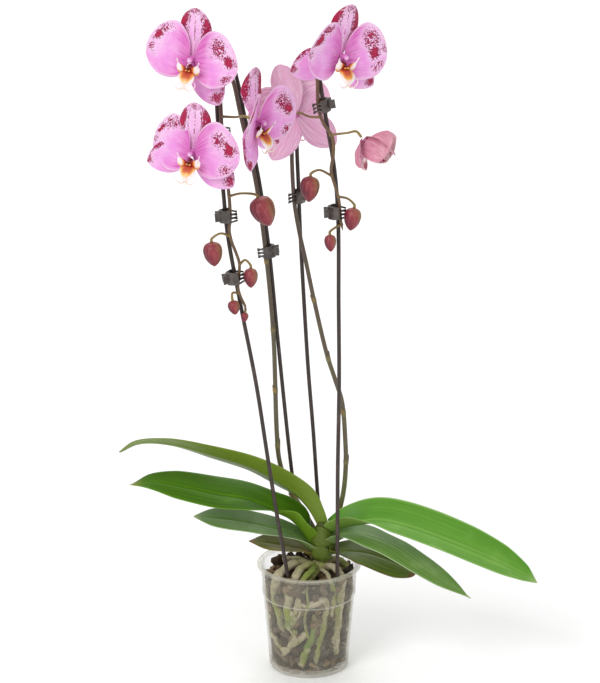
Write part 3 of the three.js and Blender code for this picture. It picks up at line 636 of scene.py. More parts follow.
class StemFinish(Finish):
    """Smooth stem skin by the values ripe, green to golden brown, and joint, with dark flecks."""

    def dress(self) -> Bench:
        """Mixes the bands, flecks them and lightens the joints.

        Returns:
            The bench.
        """
        bench = Bench("stem_skin")
        colour = (bench.value("ripe") + bench.sway(45.0, 4.0, 0.7)).bands(
            (0.0, "66683a"), (0.22, "5a5438"), (0.45, "56443a"), (0.66, "634a34"), (0.84, "79602f"),
            (1.0, "8d7638"),
        )
        fleck = bench.cells(620.0).ease(0.08, 0.2, 0.6, 0.0)
        colour = bench.coat(colour, (fleck, "3a2220"), (bench.value("joint") * 0.45, "93854f"))
        bench.set(Base_Color=colour, Roughness=bench.grain(260.0).ease(0.3, 0.7, 0.3, 0.5))
        bench.set(Coat_Weight=0.12, Coat_Roughness=0.25)
        bench.relief(bench.grain(700.0), 0.2, 0.6)
        return bench


class HoopFinish(Finish):
    """Dark brown plastic skin on a wire, lightly rubbed."""

    def dress(self) -> Bench:
        """Mixes the rubbed brown.

        Returns:
            The bench.
        """
        bench = Bench("hoop_skin")
        rub = bench.grain(38.0, 4.0, 0.65)
        bench.set(Base_Color=bench.coat("392e2a", (rub.ease(0.5, 0.75), "574842")), Specular_IOR_Level=0.4)
        bench.set(Roughness=rub.ease(0.35, 0.7, 0.32, 0.55))
        bench.relief(bench.grain(900.0, 2.0), 0.08, 0.5)
        return bench


class BudFinish(Finish):
    """Waxy bud skin by the values warm, olive to dark red, seam, along and around."""

    def dress(self) -> Bench:
        """Mixes the bands, darkens the seams and lays fine veins over them.

        Returns:
            The bench.
        """
        bench = Bench("bud_skin")
        colour = (bench.value("warm") + bench.sway(130.0, 4.0, 0.7)).bands(
            (0.0, "8a7c46"), (0.26, "965c44"), (0.48, "90383f"), (0.75, "7a2434"), (1.0, "5a182a"),
        )
        vein = bench.spread(bench.value("along") * 1.5, bench.value("around") * 26.0)
        vein = bench.grain(1.0, 2.0, 0.5, vein).ease(0.45, 0.7, 0.0, 0.28)
        colour = bench.coat(colour, (bench.value("seam") * 0.6, "561a2c"), (vein, "b06c6c"))
        bench.set(Base_Color=colour, Roughness=0.42, Specular_IOR_Level=0.36)
        bench.set(Subsurface_Weight=0.05, Subsurface_Scale=0.002)
        bench.relief(bench.grain(900.0), 0.12, 0.6)
        return bench


class RootFinish(Finish):
    """Silvery root skin over the value green, dry and a little cracked."""

    def dress(self) -> Bench:
        """Mixes the bands, cracks and stains them.

        Returns:
            The bench.
        """
        bench = Bench("root_skin")
        colour = (bench.value("green") + bench.sway(90.0, 4.0, 0.9)).bands(
            (0.0, "b8ad90"), (0.35, "a39d78"), (0.65, "86903f"), (1.0, "5f7a28"),
        )
        crack = bench.grain(300.0, 5.0, 0.75).ease(0.52, 0.64, 0.0, 0.62)
        stain = bench.grain(60.0, 5.0, 0.7).ease(0.54, 0.68, 0.0, 0.7)
        bench.set(Base_Color=bench.coat(colour, (crack, "5a4c34"), (stain, "5f4b30")), Roughness=0.78)
        bench.relief(bench.grain(420.0, 4.0, 0.6), 0.5, 0.8)
        return bench


class BarkFinish(Finish):
    """Rough bark, each chip of its own brown by the value tone, with fibres and pale dust."""

    def dress(self) -> Bench:
        """Mixes the browns and dusts them.

        Returns:
            The bench.
        """
        bench = Bench("bark_chip")
        colour = (bench.value("tone") + bench.grain(160.0, 5.0, 0.65) * 0.3).bands(
            (0.0, "1a1410"), (0.3, "31261c"), (0.55, "4a392a"), (0.8, "66523c"), (1.0, "867155"),
        )
        dust = bench.grain(520.0, 3.0, 0.7).ease(0.58, 0.74, 0.0, 0.4)
        bench.set(Base_Color=bench.coat(colour, (dust, "8f7d60")), Roughness=0.92, Specular_IOR_Level=0.2)
        bench.relief(bench.grain(340.0, 5.0, 0.7), 1.0, 0.9)
        return bench


class PotFinish(Finish):
    """Thin clear plastic by the value haze, with water marks, denser where the wall turns away."""

    def dress(self) -> Bench:
        """Mixes the haze that covers the clear wall.

        Returns:
            The bench.
        """
        bench = Bench("pot_clear")
        marks = bench.grain(55.0, 5.0, 0.65)
        drops = bench.cells(150.0).ease(0.0, 0.16, 0.08, 0.0)
        cover = bench.value("haze") + marks.ease(0.45, 0.75, 0.0, 0.12) + drops * 0.5
        cover = cover + bench.node("LayerWeight", "Facing").ease(0.5, 1.0, 0.0, 0.3)
        bench.set(Base_Color=bench.coat("dcd8c9", (marks.ease(0.35, 0.7), "c4bfae")), Alpha=cover, IOR=1.5)
        bench.set(Roughness=marks.ease(0.3, 0.7, 0.12, 0.34))
        bench.relief(marks + drops, 0.25, 0.35)
        bench.material.surface_render_method = "BLENDED"
        return bench


class ClipFinish(Finish):
    """Smoky grey-brown moulded plastic."""

    def dress(self) -> Bench:
        """Mixes the smoky plastic.

        Returns:
            The bench.
        """
        bench = Bench("clip_smoke")
        flow = bench.grain(120.0, 3.0, 0.5)
        bench.set(Base_Color=bench.coat("3a322e", (flow.ease(0.35, 0.7), "5a4f48")), Coat_Weight=0.4)
        bench.set(Roughness=flow.ease(0.3, 0.7, 0.16, 0.3), Transmission_Weight=0.12, IOR=1.49)
        bench.relief(bench.grain(1500.0, 2.0), 0.05, 0.4)
        return bench


class FloorFinish(Finish):
    """Plain pale studio floor."""

    def dress(self) -> Bench:
        """Sets the floor's plain white.

        Returns:
            The bench.
        """
        bench = Bench("studio_floor")
        bench.set(Base_Color="fefefe", Roughness=0.8, Specular_IOR_Level=0.1)
        return bench


# ---------------------------------------------------------------- pot, bark and roots
@dataclass
class ClearPot:
    """The tapered nursery pot: foot, stacking step, rim flange and drain holes."""

    height: float = 126.0
    rim_radius: float = 60.0
    base_radius: float = 45.5
    ring_height: float = 90.0
    ring_radius: float = 53.8
    ring_step: float = 1.0
    ring_rise: float = 2.0
    neck_radius: float = 55.2
    wall: float = 1.3
    floor: float = 2.0
    lip: float = 4.2
    rim_curve: float = 1.2
    corner: float = 3.0
    foot: float = 9.0
    drains: int = 5
    drain_radius: float = 4.0
    drain_circle: float = 27.0
    drain_sides: int = 24
    sides: int = 120
    clear: float = 0.09
    inside: float = 0.07
    frost: float = 0.42

    def radius(self, z: Value) -> Value:
        """Gives the outside radius of the wall.

        Args:
            z: The height.

        Returns:
            The radius.
        """
        low = self.base_radius + (self.ring_radius - self.ring_step - self.base_radius) * z / self.ring_height
        rise = (z - self.ring_height) / (self.height - self.ring_height)
        high = self.ring_radius + (self.neck_radius - self.ring_radius) * rise
        return np.where(np.asarray(z) < self.ring_height, low, high)

    def section(self) -> np.ndarray:
        """Goes once round the wall's section.

        Returns:
            Radius, height and haze, one row for each corner.
        """
        r, top, ring, foot, wall = self.radius, self.height, self.ring_height, self.foot, self.wall
        low, flange = ring - self.ring_rise, top - self.lip
        rows = [(0.4, 0.0, 0.4), (r(0) - self.corner, 0.0, self.frost)]
        for bend in np.arange(1, 7) * math.pi / 12:
            inward, up = self.corner * (1 - math.sin(bend)), self.corner * (1 - math.cos(bend))
            rows.append((r(self.corner) - inward, up, self.frost))
        rows += [(r(z), z, 0.34) for z in (foot - 1.5, foot - 0.4)]
        rows += [(r(foot) + 0.25, foot, 0.5), (r(foot + 0.6), foot + 0.6, 0.22)]
        rows += [(r(z), z, self.clear) for z in np.linspace(foot + 3, low - 1, 12)]
        rows += [(r(low), low, 0.2), (r(low) + 0.3, low + 0.5, 0.55), (r(ring) - 0.15, ring - 0.4, 0.55)]
        rows += [(r(ring), ring, 0.3), (r(ring + 1), ring + 1, 0.2)]
        rows += [(r(z), z, 0.13) for z in np.linspace(ring + 4, flange - 2, 8)]
        rows += [(r(flange) + 0.2, flange - 0.5, 0.16), (r(flange) + 0.8, flange, 0.26)]
        half = 0.5 * (self.lip - 0.4)
        for bend in np.arange(7) * math.pi / 6:
            haze = 0.46 if bend > 0.55 * math.pi else 0.16
            out = self.rim_radius - self.rim_curve * (1 - math.sin(bend))
            rows.append((out, top - half - half * math.cos(bend), haze))
        rows += [(r(top) - 0.4, top - 0.15, 0.45), (r(top) - wall, top - 0.9, 0.3)]
        rows += [(r(z) - wall, z, self.inside) for z in (*np.linspace(top - 6, ring + 1, 6), low, foot)]
        rows += [(r(0) - wall - self.corner, self.floor, 0.3), (0.4, self.floor, 0.3)]
        return np.array([[float(number) for number in row] for row in rows])

    def build(self) -> None:
        """Makes the pot and drills its drain holes."""
        section = self.section()
        skin = Skin()
        skin.lathe(section[:, :2], self.sides, haze=section[:, 2])
        piece = skin.build("pot_wall", "pot", "pot", PotFinish())
        drill = Skin()
        for angle in circle(self.drains) + 0.5 * TAU / self.drains:
            x, y = self.drain_circle * math.cos(angle), self.drain_circle * math.sin(angle)
            line = np.array([[x, y, -3.0], [x, y, 3.0 * self.floor]])
            drill.tube(line, self.drain_radius, self.drain_sides)
        cutter = drill.bare("drain_cutter", True)
        cut = piece.modifiers.new("drains", "BOOLEAN")
        cut.operation = "DIFFERENCE"
        cut.solver = "EXACT"
        cut.object = cutter
        graph = bpy.context.evaluated_depsgraph_get()
        piece.data = bpy.data.meshes.new_from_object(piece.evaluated_get(graph))
        piece.modifiers.clear()
        bpy.data.objects.remove(cutter)


@dataclass
class BarkFill:
    """Bark chips pressed against the wall and heaped at the top, round a heart in the darkest bark brown,
    painted shade for the depths between the chips.
    """

    pot: ClearPot
    heart_height: float = 104.0
    inset: float = 9.5
    clearance: float = 2.0
    rows: int = 12
    per_row: int = 21
    top_chips: int = 120
    top_radius: float = 49.0
    corners: int = 18
    wall_sizes: tuple[Point, Point] = ((8, 6, 5), (19, 13, 9))
    top_sizes: tuple[Point, Point] = ((9, 5, 5), (20, 13, 9))
    boxiness: float = 0.45
    seed: int = 7

    def chip(self, skin: Skin, random: Draw, centre: np.ndarray, angle: float, lean: float,
             size: np.ndarray) -> None:
        """Adds one bark chip.

        Args:
            skin: Where it goes.
            random: The seeded draw.
            centre: Its middle.
            angle: Where it faces.
            lean: How far it may tip.
            size: Width, height and depth.
        """
        cloud = random.uniform(-1, 1, (self.corners, 3))
        cloud = np.sign(cloud) * np.abs(cloud) ** self.boxiness * size / 2
        spin, tip = random.uniform(-1.4, 1.4), random.uniform(-lean, lean)
        for a, (i, j) in ((spin, (0, 2)), (tip, (1, 2)), (angle, (0, 1))):
            turned = cloud.copy()
            turned[:, i] = cloud[:, i] * math.cos(a) - cloud[:, j] * math.sin(a)
            turned[:, j] = cloud[:, i] * math.sin(a) + cloud[:, j] * math.cos(a)
            cloud = turned
        points = cloud + centre
        most = self.pot.radius(points[:, 2]) - self.pot.wall - self.clearance
        reach = np.maximum(np.hypot(points[:, 0], points[:, 1]), 1e-6)
        points[:, :2] *= np.minimum(1.0, most / reach)[:, None]
        points[:, 2] = np.maximum(points[:, 2], self.pot.floor + 0.4)
        hull = bmesh.new()
        for point in points:
            hull.verts.new(point)
        made = bmesh.ops.convex_hull(hull, input=hull.verts)
        loose = [v for v in made["geom_interior"] if isinstance(v, bmesh.types.BMVert)]
        bmesh.ops.delete(hull, geom=loose, context="VERTS")
        hull.verts.index_update()
        kept = np.array([tuple(v.co) for v in hull.verts])
        faces = [tuple(v.index for v in face.verts) for face in hull.faces]
        hull.free()
        skin.patch(kept, faces, tone=random.uniform(0.05, 0.85))

    def heart(self, skin: Skin) -> None:
        """Adds the rough middle that the chips stand out of, in the darkest bark brown as painted shade seen
        between the chips.

        Args:
            skin: Where it goes.
        """
        z = np.linspace(self.pot.floor + 1, self.heart_height, 16)
        radius = self.pot.radius(z) - self.pot.wall - self.inset + 0.8 * np.sin(z * 1.7)
        profile = np.vstack([[0.5, z[0]], np.column_stack([radius, z]), [0.5, z[-1] + 2.0]])
        # tone 0 is the darkest bark brown: painted shade for the depths between the chips
        skin.lathe(profile, 36, tone=0.0)

    def build(self) -> None:
        """Heaps the chips."""
        random = np.random.default_rng(self.seed)
        skin = Skin()
        self.heart(skin)
        for row in range(self.rows):
            for k in range(self.per_row):
                z = 7 + row * (self.heart_height - 8) / (self.rows - 1) + random.uniform(-4, 4)
                angle = TAU * (k + 0.5 * (row % 2) + random.uniform(-0.3, 0.3)) / self.per_row
                size = random.uniform(*self.wall_sizes)
                radius = float(self.pot.radius(z)) - self.pot.wall - 0.42 * size[1]
                centre = np.array([radius * math.sin(angle), -radius * math.cos(angle), z])
                self.chip(skin, random, centre, angle, 0.3, size)
        for k in range(self.top_chips):
            radius = self.top_radius * math.sqrt((k + 0.5) / self.top_chips)
            angle = GOLDEN_TURN * k + random.uniform(-0.3, 0.3)
            size = random.uniform(*self.top_sizes)
            z = self.heart_height + random.uniform(-1, 11) + 4 * smooth(radius / self.top_radius, 0.5, 1.0)
            centre = np.array([radius * math.sin(angle), -radius * math.cos(angle), z])
            self.chip(skin, random, centre, angle + random.uniform(-1.5, 1.5), 1.2, size)
        skin.build("bark_chips", "bark", "bark", BarkFinish(), flat=True)


@dataclass(frozen=True)
class Root:
    """One root: over the bark by points, then down inside the wall by angle and height."""

    radius: float
    top: tuple[Point, ...]
    wall: tuple[tuple[float, float], ...]
    green: float = 0.3


@dataclass
class RootMass:
    """All roots, joined below the crown, and the strands that come up to the wall from further in."""

    pot: ClearPot
    roots: tuple[Root, ...]
    strands: tuple[Root, ...]
    start: Point = (11.0, -2.0, 119.0)
    hub: Point = (13.0, -2.0, 119.0)
    hub_size: Point = (12.5, 11.0, 11.4)
    sides: int = 16
    thin: int = 15
    thin_radii: tuple[float, float] = (1.2, 2.2)
    seed: int = 31

    def route(self, root: Root, fuller: float = 1.0) -> Route:
        """Gives a root's middle line.

        Args:
            root: The root.
            fuller: How much thicker it is taken to be inside the wall.

        Returns:
            Its spline.
        """
        points: list[Point] = [self.start, *root.top] if root.top else []
        for angle, z in root.wall:
            reach = 0.99 * float(self.pot.radius(z)) - self.pot.wall - 0.6 - fuller * root.radius
            turn = math.radians(angle)
            points.append((reach * math.sin(turn), -reach * math.cos(turn), z))
        return Route(tuple(points))

    @staticmethod
    def wander(path: np.ndarray, random: Draw, reach: float) -> np.ndarray:
        """Bends a middle line a little sideways and up and down, but not at its ends.

        Args:
            path: The middle line.
            random: The seeded draw.
            reach: How far it may go.

        Returns:
            The bent line.
        """
        share = np.linspace(0, 1, len(path))
        side = unit(np.cross(unit(np.gradient(path, axis=0)), [0.2, 0.1, 1.0]))
        first = np.sin(share * random.uniform(16, 24) + random.uniform(0, 6))
        second = np.sin(share * random.uniform(30, 44) + random.uniform(0, 6))
        return path + side * (reach * np.sin(math.pi * share) ** 0.5 * (0.7 * first + 0.4 * second))[:, None]

    def build(self) -> None:
        """Grows the roots, the strands and the thin rootlets."""
        random = np.random.default_rng(self.seed)
        skin = Skin()
        skin.lump(np.diag(self.hub_size), np.array(self.hub), 14, 24, green=0.5)
        share = np.linspace(0, 1, 120)
        for root in self.roots:
            path = self.wander(self.route(root, 1.2).even(len(share)), random, 1.0)
            lumps = 0.09 * np.sin(share * 29 + random.uniform(0, 6))
            lumps = lumps + 0.06 * np.sin(share * 67 + random.uniform(0, 6))
            fuller = 1 + 0.24 * smooth(share, 0.25, 0.5) - 0.1 * smooth(share, 0.7, 1.0)
            radii = root.radius * (fuller + lumps)
            radii[-6:] *= np.sqrt(np.linspace(1, 0.12, 6))
            tone = root.green + 0.3 * np.sin(share * 9 + random.uniform(0, 6))
            skin.tube(path, radii, self.sides, green=tone + 0.3 * smooth(share, 0.75, 1.0))
        share = np.linspace(0, 1, 40)
        ends = np.minimum(1.0, np.sqrt(np.minimum(share, 1 - share) * 14 + 0.08))
        for strand in self.strands:
            radii = strand.radius * (1 + 0.1 * np.sin(share * 17 + strand.radius * 9)) * ends
            tone = strand.green + 0.3 * np.sin(share * 7 + strand.radius)
            path = self.wander(self.route(strand).even(len(share)), random, 0.9)
            skin.tube(path, radii, self.sides, green=tone)
        for _ in range(self.thin):
            angle, drop, high = random.uniform(-170, 170), random.uniform(25, 60), random.uniform(70, 96)
            wall = tuple((angle + random.uniform(-9, 9), high - drop * k / 3) for k in range(4))
            lead, turn = float(0.75 * self.pot.radius(high)), math.radians(angle)
            over = (lead * math.sin(turn), -lead * math.cos(turn), 110.0)
            rootlet = Root(random.uniform(*self.thin_radii), (over,), wall)
            line = self.wander(self.route(rootlet).even(60)[22:], random, 0.35)
            skin.tube(line, rootlet.radius, 10, green=random.uniform(0, 0.6))
        skin.build("root_strands", "roots", "roots", RootFinish())


# ---------------------------------------------------------------- crown and leaves
@dataclass
class Crown:
    """The short stem, wrapped in the leaves' old bases: a level is height, half width and half depth."""

    x: float = 15.0
    y: float = -2.0
    levels: tuple[Point, ...] = (
        (131, 10, 8.5), (142, 12, 9.5), (156, 11.5, 8.5), (169, 8.5, 6.5), (177, 4, 3.5),
    )
    sheaths: tuple[tuple[float, float], ...] = ((131.5, 147), (134, 158), (141, 167), (150, 173))
    wrap: float = 1.75
    rings: int = 40
    sides: int = 48

    def build(self) -> None:
        """Makes the stem with its overlapping sheaths."""
        share, turn = np.linspace(0, 1, self.rings)[:, None], circle(self.sides)
        shape = Route(self.levels).at(share[:, 0])
        ridge = 0.5 * np.abs(np.sin(turn)) * smooth(1 - share, 0.0, 0.3)
        grow = 1 - 0.06 * (0.5 * ((share * 6) % 1.0) + ridge)
        points = np.stack([
            self.x + shape[:, 1:2] * grow * np.cos(turn), self.y + shape[:, 2:3] * grow * np.sin(turn),
            np.broadcast_to(shape[:, :1], grow.shape),
        ], axis=-1)
        skin = Skin()
        skin.rings(points, front=1.0, along=0.3 * share, across=0.8 * np.sin(turn))
        for k, (low, high) in enumerate(self.sheaths):
            self.sheath(skin, low, high, 180.0 * (k % 2) + 25 * k, 0.5 + 0.25 * k)
        skin.build("crown_sheath", "crown", "leaf", CROWN_FINISH)

    def sheath(self, skin: Skin, low: float, high: float, turn: float, lift: float) -> None:
        """Wraps an old leaf base round the stem, highest on the side its leaf grew on.

        Args:
            skin: Where it goes.
            low: Height of its foot.
            high: Height of its highest edge.
            turn: The side its leaf grew on, in degrees.
            lift: How far it stands off the stem.
        """
        u, v = weave(14, 33)
        z = low + (high - low) * u * (1 - 0.55 * v * v)
        shape = Route(self.levels).at(np.linspace(0, 1, 80))
        wide, deep = (np.interp(z, shape[:, 0], shape[:, k]) for k in (1, 2))
        off = lift + 1.2 * smooth(u, 0.75, 1.0) * (1 - v * v)
        angle = math.radians(turn) + self.wrap * v
        x, y = self.x + (wide + off) * np.cos(angle), self.y + (deep + off) * np.sin(angle)
        grid = np.stack([x, y, z], axis=-1)
        skin.sheet(grid, 0.5, along=0.25 + 0.9 * smooth(u, 0.86, 1.0), across=0.85 * v)


@dataclass
class StrapLeaf:
    """One folded strap leaf along its midrib.

    A station is x, y, z, width, bank and fold: bank lifts the far edge, fold lifts both edges from the rib.
    """

    name: str
    tip: float
    stations: tuple[tuple[float, ...], ...]
    finish: LeafFinish
    rows: int = 84
    columns: int = 29
    edge: float = 1.0
    rib: float = 2.6
    thinning: float = 0.6
    bunching: float = 0.35
    roundness: float = 7.0
    trough: float = 1.25
    least_half: float = 0.8
    wave: float = 0.9
    groove: float = 0.9
    groove_width: float = 0.07

    def surface(self) -> tuple[np.ndarray, np.ndarray, np.ndarray]:
        """Gives the leaf's middle surface.

        Returns:
            The grid of points, the share along it and the share across it.
        """
        u, v = weave(self.rows, self.columns)
        reach = u[:, 0] + (np.sin(u[:, 0] * math.pi / 2) - u[:, 0]) * self.bunching
        spine = Route(tuple(s[:3] for s in self.stations))
        shape = Route(tuple(s[3:] for s in self.stations)).at(reach)
        along = spine.heading(reach)
        side = unit(np.cross(along, [0.0, 0.0, 1.0]))
        side *= np.where(side[:, 1:2] < 0, -1, 1)
        up = unit(np.cross(along, side))
        up *= np.where(up[:, 2:3] < 0, -1, 1)
        tilt, crease = np.radians(shape[:, 1:2]), np.radians(shape[:, 2:3])
        across = side * np.cos(tilt) + up * np.sin(tilt)
        raised = up * np.cos(tilt) - side * np.sin(tilt)
        half = np.maximum(shape[:, 0] / 2 * (1 - reach**self.roundness) ** self.tip, self.least_half)[:, None]
        groove = self.groove * swell(v, self.groove_width) * smooth(1 - u, 0.0, 0.4)
        ripple = self.wave * np.sin(9 * u + 2.2 * np.sign(v)) * v**2 * smooth(u, 0.2, 0.6)
        lift = np.abs(v) ** self.trough * half * np.sin(crease) - groove + ripple
        grid = spine.at(reach)[:, None, :] + (v * half * np.cos(crease))[..., None] * across[:, None, :]
        return grid + lift[..., None] * raised[:, None, :], u, v

    def build(self) -> None:
        """Makes the leaf blade, with its upper side in front."""
        grid, u, v = self.surface()
        i, j = self.rows // 2 - 2, self.columns // 2
        if np.cross(grid[i, j] - grid[i - 1, j], grid[i, j + 1] - grid[i, j])[2] < 0:
            grid, v = grid[:, ::-1], v[:, ::-1]
        thickness = self.rib * (1 - self.thinning * u) * (1 - np.abs(v)) + self.edge * np.abs(v)
        thickness = thickness * np.where(np.abs(v) > 0.99, 0.45, 1.0)
        skin = Skin()
        skin.sheet(grid, thickness, along=u, across=v)
        skin.build(f"{self.name}_blade", self.name, "leaf", self.finish)


# ---------------------------------------------------------------- hoops, stems and buds
@dataclass
class WireHoop:
    """One bent wire with both feet in the bark."""

    name: str
    points: tuple[Point, ...]
    radius: float = 2.25
    count: int = 260
    sides: int = 20

    def build(self) -> None:
        """Makes the wire in its plastic skin."""
        skin = Skin()
        skin.tube(Route(self.points).even(self.count), self.radius, self.sides)
        skin.build(f"{self.name}_wire", self.name, "hoop", HoopFinish())


@dataclass(frozen=True)
class Stalk:
    """A side stalk from the stem to a bloom or a bud."""

    start: Point
    via: Point
    to: str


@dataclass
class FlowerStem:
    """One flower stem with its joints, scales and side stalks."""

    name: str
    route: tuple[Point, ...]
    stalks: tuple[Stalk, ...]
    joints: tuple[float, ...]
    radii: tuple[float, ...] = (3.1, 2.7, 2.5, 2.4, 2.3, 2.2, 1.9, 1.5)
    stalk_radii: Point = (1.45, 1.25, 1.55)
    count: int = 420
    sides: int = 18
    stalk_sides: int = 12
    joint_reach: float = 0.0035
    joint_swell: float = 0.16
    foot_swell: float = 0.35
    scale_length: float = 9.5

    def radius(self, share: Value) -> Value:
        """Gives the stem's radius at a share of its length."""
        return np.interp(share * (len(self.radii) - 1), np.arange(len(self.radii)), self.radii)

    def main_line(self, skin: Skin, path: np.ndarray) -> None:
        """Adds the stem with swollen joints.

        Args:
            skin: Where it goes.
            path: Its middle line.
        """
        share = np.linspace(0, 1, self.count)
        joint = sum(swell(share - place, self.joint_reach) for place in self.joints)
        cap = np.ones(self.count)
        cap[-4:] = (0.95, 0.8, 0.55, 0.25)
        radii = self.radius(share) * (1 + self.joint_swell * joint) * cap
        skin.tube(path, radii, self.sides, ripe=0.12 + 0.62 * share, joint=joint)

    def scale_leaf(self, skin: Skin, path: np.ndarray, place: float, turn: float) -> None:
        """Adds the small dry scale that wraps a joint.

        Args:
            skin: Where it goes.
            path: The stem's middle line.
            place: Share along the stem.
            turn: Which side it stands on, in degrees.
        """
        index = int(place * (self.count - 2))
        heading = unit(path[index + 1] - path[index])
        side = unit(np.cross(heading, [0.3, 1.0, 0.2]))
        other = np.cross(heading, side)
        u, v = weave(10, 9)
        angle = math.radians(turn) + v * 1.35 * (1 - u**1.6)
        out = float(self.radius(place)) + 0.35 + 1.1 * u**3
        grid = path[index] + heading * (self.scale_length * u)[..., None]
        grid = grid + side * (out * np.cos(angle))[..., None] + other * (out * np.sin(angle))[..., None]
        skin.sheet(grid, 0.35, ripe=0.95 - 0.2 * u, joint=0.5 * u)

    def build(self, ends: dict[str, tuple[np.ndarray, np.ndarray]]) -> None:
        """Makes the stem and its stalks.

        Args:
            ends: For each bloom and bud, from where its stalk arrives and where.
        """
        skin = Skin()
        line = Route(self.route).even(self.count)
        self.main_line(skin, line)
        for k, place in enumerate(self.joints):
            self.scale_leaf(skin, line, place, 70 + 175 * k)
        share = np.linspace(0, 1, 40)
        radii = np.interp(share * 2, (0, 1, 2), self.stalk_radii) * (1 + self.foot_swell * swell(share, 0.06))
        for stalk in self.stalks:
            approach, end = ends[stalk.to]
            path = Route((stalk.start, stalk.via, tuple(approach), tuple(end))).even(len(share))
            skin.tube(path, radii, self.stalk_sides, ripe=0.78 + 0.2 * share, joint=swell(share, 0.05))
        skin.build(f"{self.name}_skin", self.name, "stem", StemFinish())


@dataclass
class Bud:
    """One closed bud with three seams, redder on its lit side."""

    name: str
    at: Point
    tip: Point
    width: float
    foot: float = 0.3
    stalk_run: float = 2.9
    rings: int = 40
    sides: int = 48
    seam_depth: float = 0.09
    lit_from: Point = (-1.0, -0.25, -0.35)
    outline: tuple[tuple[float, float], ...] = (
        (0, 0.3), (0.02, 0.42), (0.12, 0.82), (0.32, 1), (0.6, 0.9), (0.86, 0.52), (1, 0.12),
    )

    def end(self) -> tuple[np.ndarray, np.ndarray]:
        """Gives from where the stalk arrives, and where."""
        at, tip = np.array(self.at), np.array(self.tip)
        return at + unit(at - tip) * self.stalk_run, at

    def build(self) -> None:
        """Makes the bud."""
        at, tip = np.array(self.at), np.array(self.tip)
        length = float(np.linalg.norm(tip - at)) - self.foot
        axis = unit(tip - at)
        side = unit(np.cross(axis, [0.0, 1.0, 0.0]))
        curve = Route(self.outline).at(np.linspace(0, 1, self.rings))
        place, share = curve[:, :1], np.maximum(curve[:, 1:], 0.02)
        turn = circle(self.sides)
        seam = swell((turn / TAU * 3 + 0.25) % 1.0 - 0.5, 0.07) * smooth(place, 0.05, 0.35)
        radius = self.width / 2 * share * (1 - self.seam_depth * seam)
        points = at + axis * (self.foot + place * length)[..., None]
        points = points + side * (radius * np.cos(turn))[..., None]
        points = points + np.cross(axis, side) * (radius * np.sin(turn))[..., None]
        warm = 0.52 + 0.42 * (unit(points - (at + axis * length / 2)) @ np.array(self.lit_from))
        skin = Skin()
        skin.rings(points, warm=warm, seam=seam, along=place, around=turn / TAU)
        skin.build(f"{self.name}_skin", self.name, "bud", BudFinish())


# ---------------------------------------------------------------- blooms
class Tepal(Enum):
    """The kinds of petal and sepal in a bloom."""

    LEFT_PETAL = "left petal"
    RIGHT_PETAL = "right petal"
    DORSAL = "dorsal"
    LATERAL = "lateral"

    @property
    def is_petal(self) -> bool:
        """Says whether it is one of the two broad petals."""
        return self in (Tepal.LEFT_PETAL, Tepal.RIGHT_PETAL)


@dataclass(frozen=True)
class TepalForm:
    """The sizes of one petal or sepal."""

    length: float
    width: float
    claw: float
    swell: float
    round: float
    arch: float
    curl: float
    rise: float


@dataclass(frozen=True)
class Blotch:
    """A crimson patch: where it lies along and across, how long and wide it is, and how dense."""

    along: float
    across: float
    long: float
    wide: float
    dense: float


PETAL = TepalForm(49, 62, 8, 0.86, 0.5, -1.5, -14, 5)
DORSAL = TepalForm(55, 34, 7, 1.18, 0.58, 3.5, 12, 0)
LATERAL = TepalForm(53, 35, 7, 1.05, 0.62, 3, -8, 0)
SMALL_PETAL = replace(PETAL, length=31, width=38, curl=40, arch=-3)
FULL = {Tepal.LEFT_PETAL: PETAL, Tepal.RIGHT_PETAL: PETAL, Tepal.DORSAL: DORSAL, Tepal.LATERAL: LATERAL}
HALF = {
    Tepal.LEFT_PETAL: SMALL_PETAL, Tepal.RIGHT_PETAL: SMALL_PETAL,
    Tepal.DORSAL: replace(DORSAL, length=40, width=30, curl=60),
    Tepal.LATERAL: replace(LATERAL, length=38, width=20, curl=30),
}
STAINS: dict[Tepal, tuple[Blotch, ...]] = {
    Tepal.LEFT_PETAL: (
        Blotch(0.80, 0.55, 0.14, 0.24, 1.05), Blotch(0.64, 0.70, 0.28, 0.26, 0.66),
        Blotch(0.92, -0.08, 0.10, 0.36, 0.62), Blotch(0.72, 0.10, 0.14, 0.40, 0.14),
        Blotch(0.80, -0.45, 0.10, 0.14, 0.28),
    ),
    Tepal.RIGHT_PETAL: (
        Blotch(0.75, 0.05, 0.14, 0.34, 1.08), Blotch(0.58, 0.42, 0.22, 0.38, 0.7),
        Blotch(0.74, -0.72, 0.17, 0.22, 0.64), Blotch(0.88, 0.30, 0.10, 0.36, 0.6),
        Blotch(0.62, -0.1, 0.16, 0.5, 0.14),
    ),
    Tepal.DORSAL: (
        Blotch(0.62, 0.82, 0.34, 0.36, 1.02), Blotch(0.62, -0.82, 0.34, 0.36, 1.02),
        Blotch(0.92, 0.0, 0.13, 0.9, 0.6),
    ),
    Tepal.LATERAL: (
        Blotch(0.90, 0.2, 0.12, 0.7, 0.9), Blotch(0.66, 0.90, 0.30, 0.28, 0.75),
        Blotch(0.5, 0.4, 0.2, 0.4, 0.14),
    ),
}


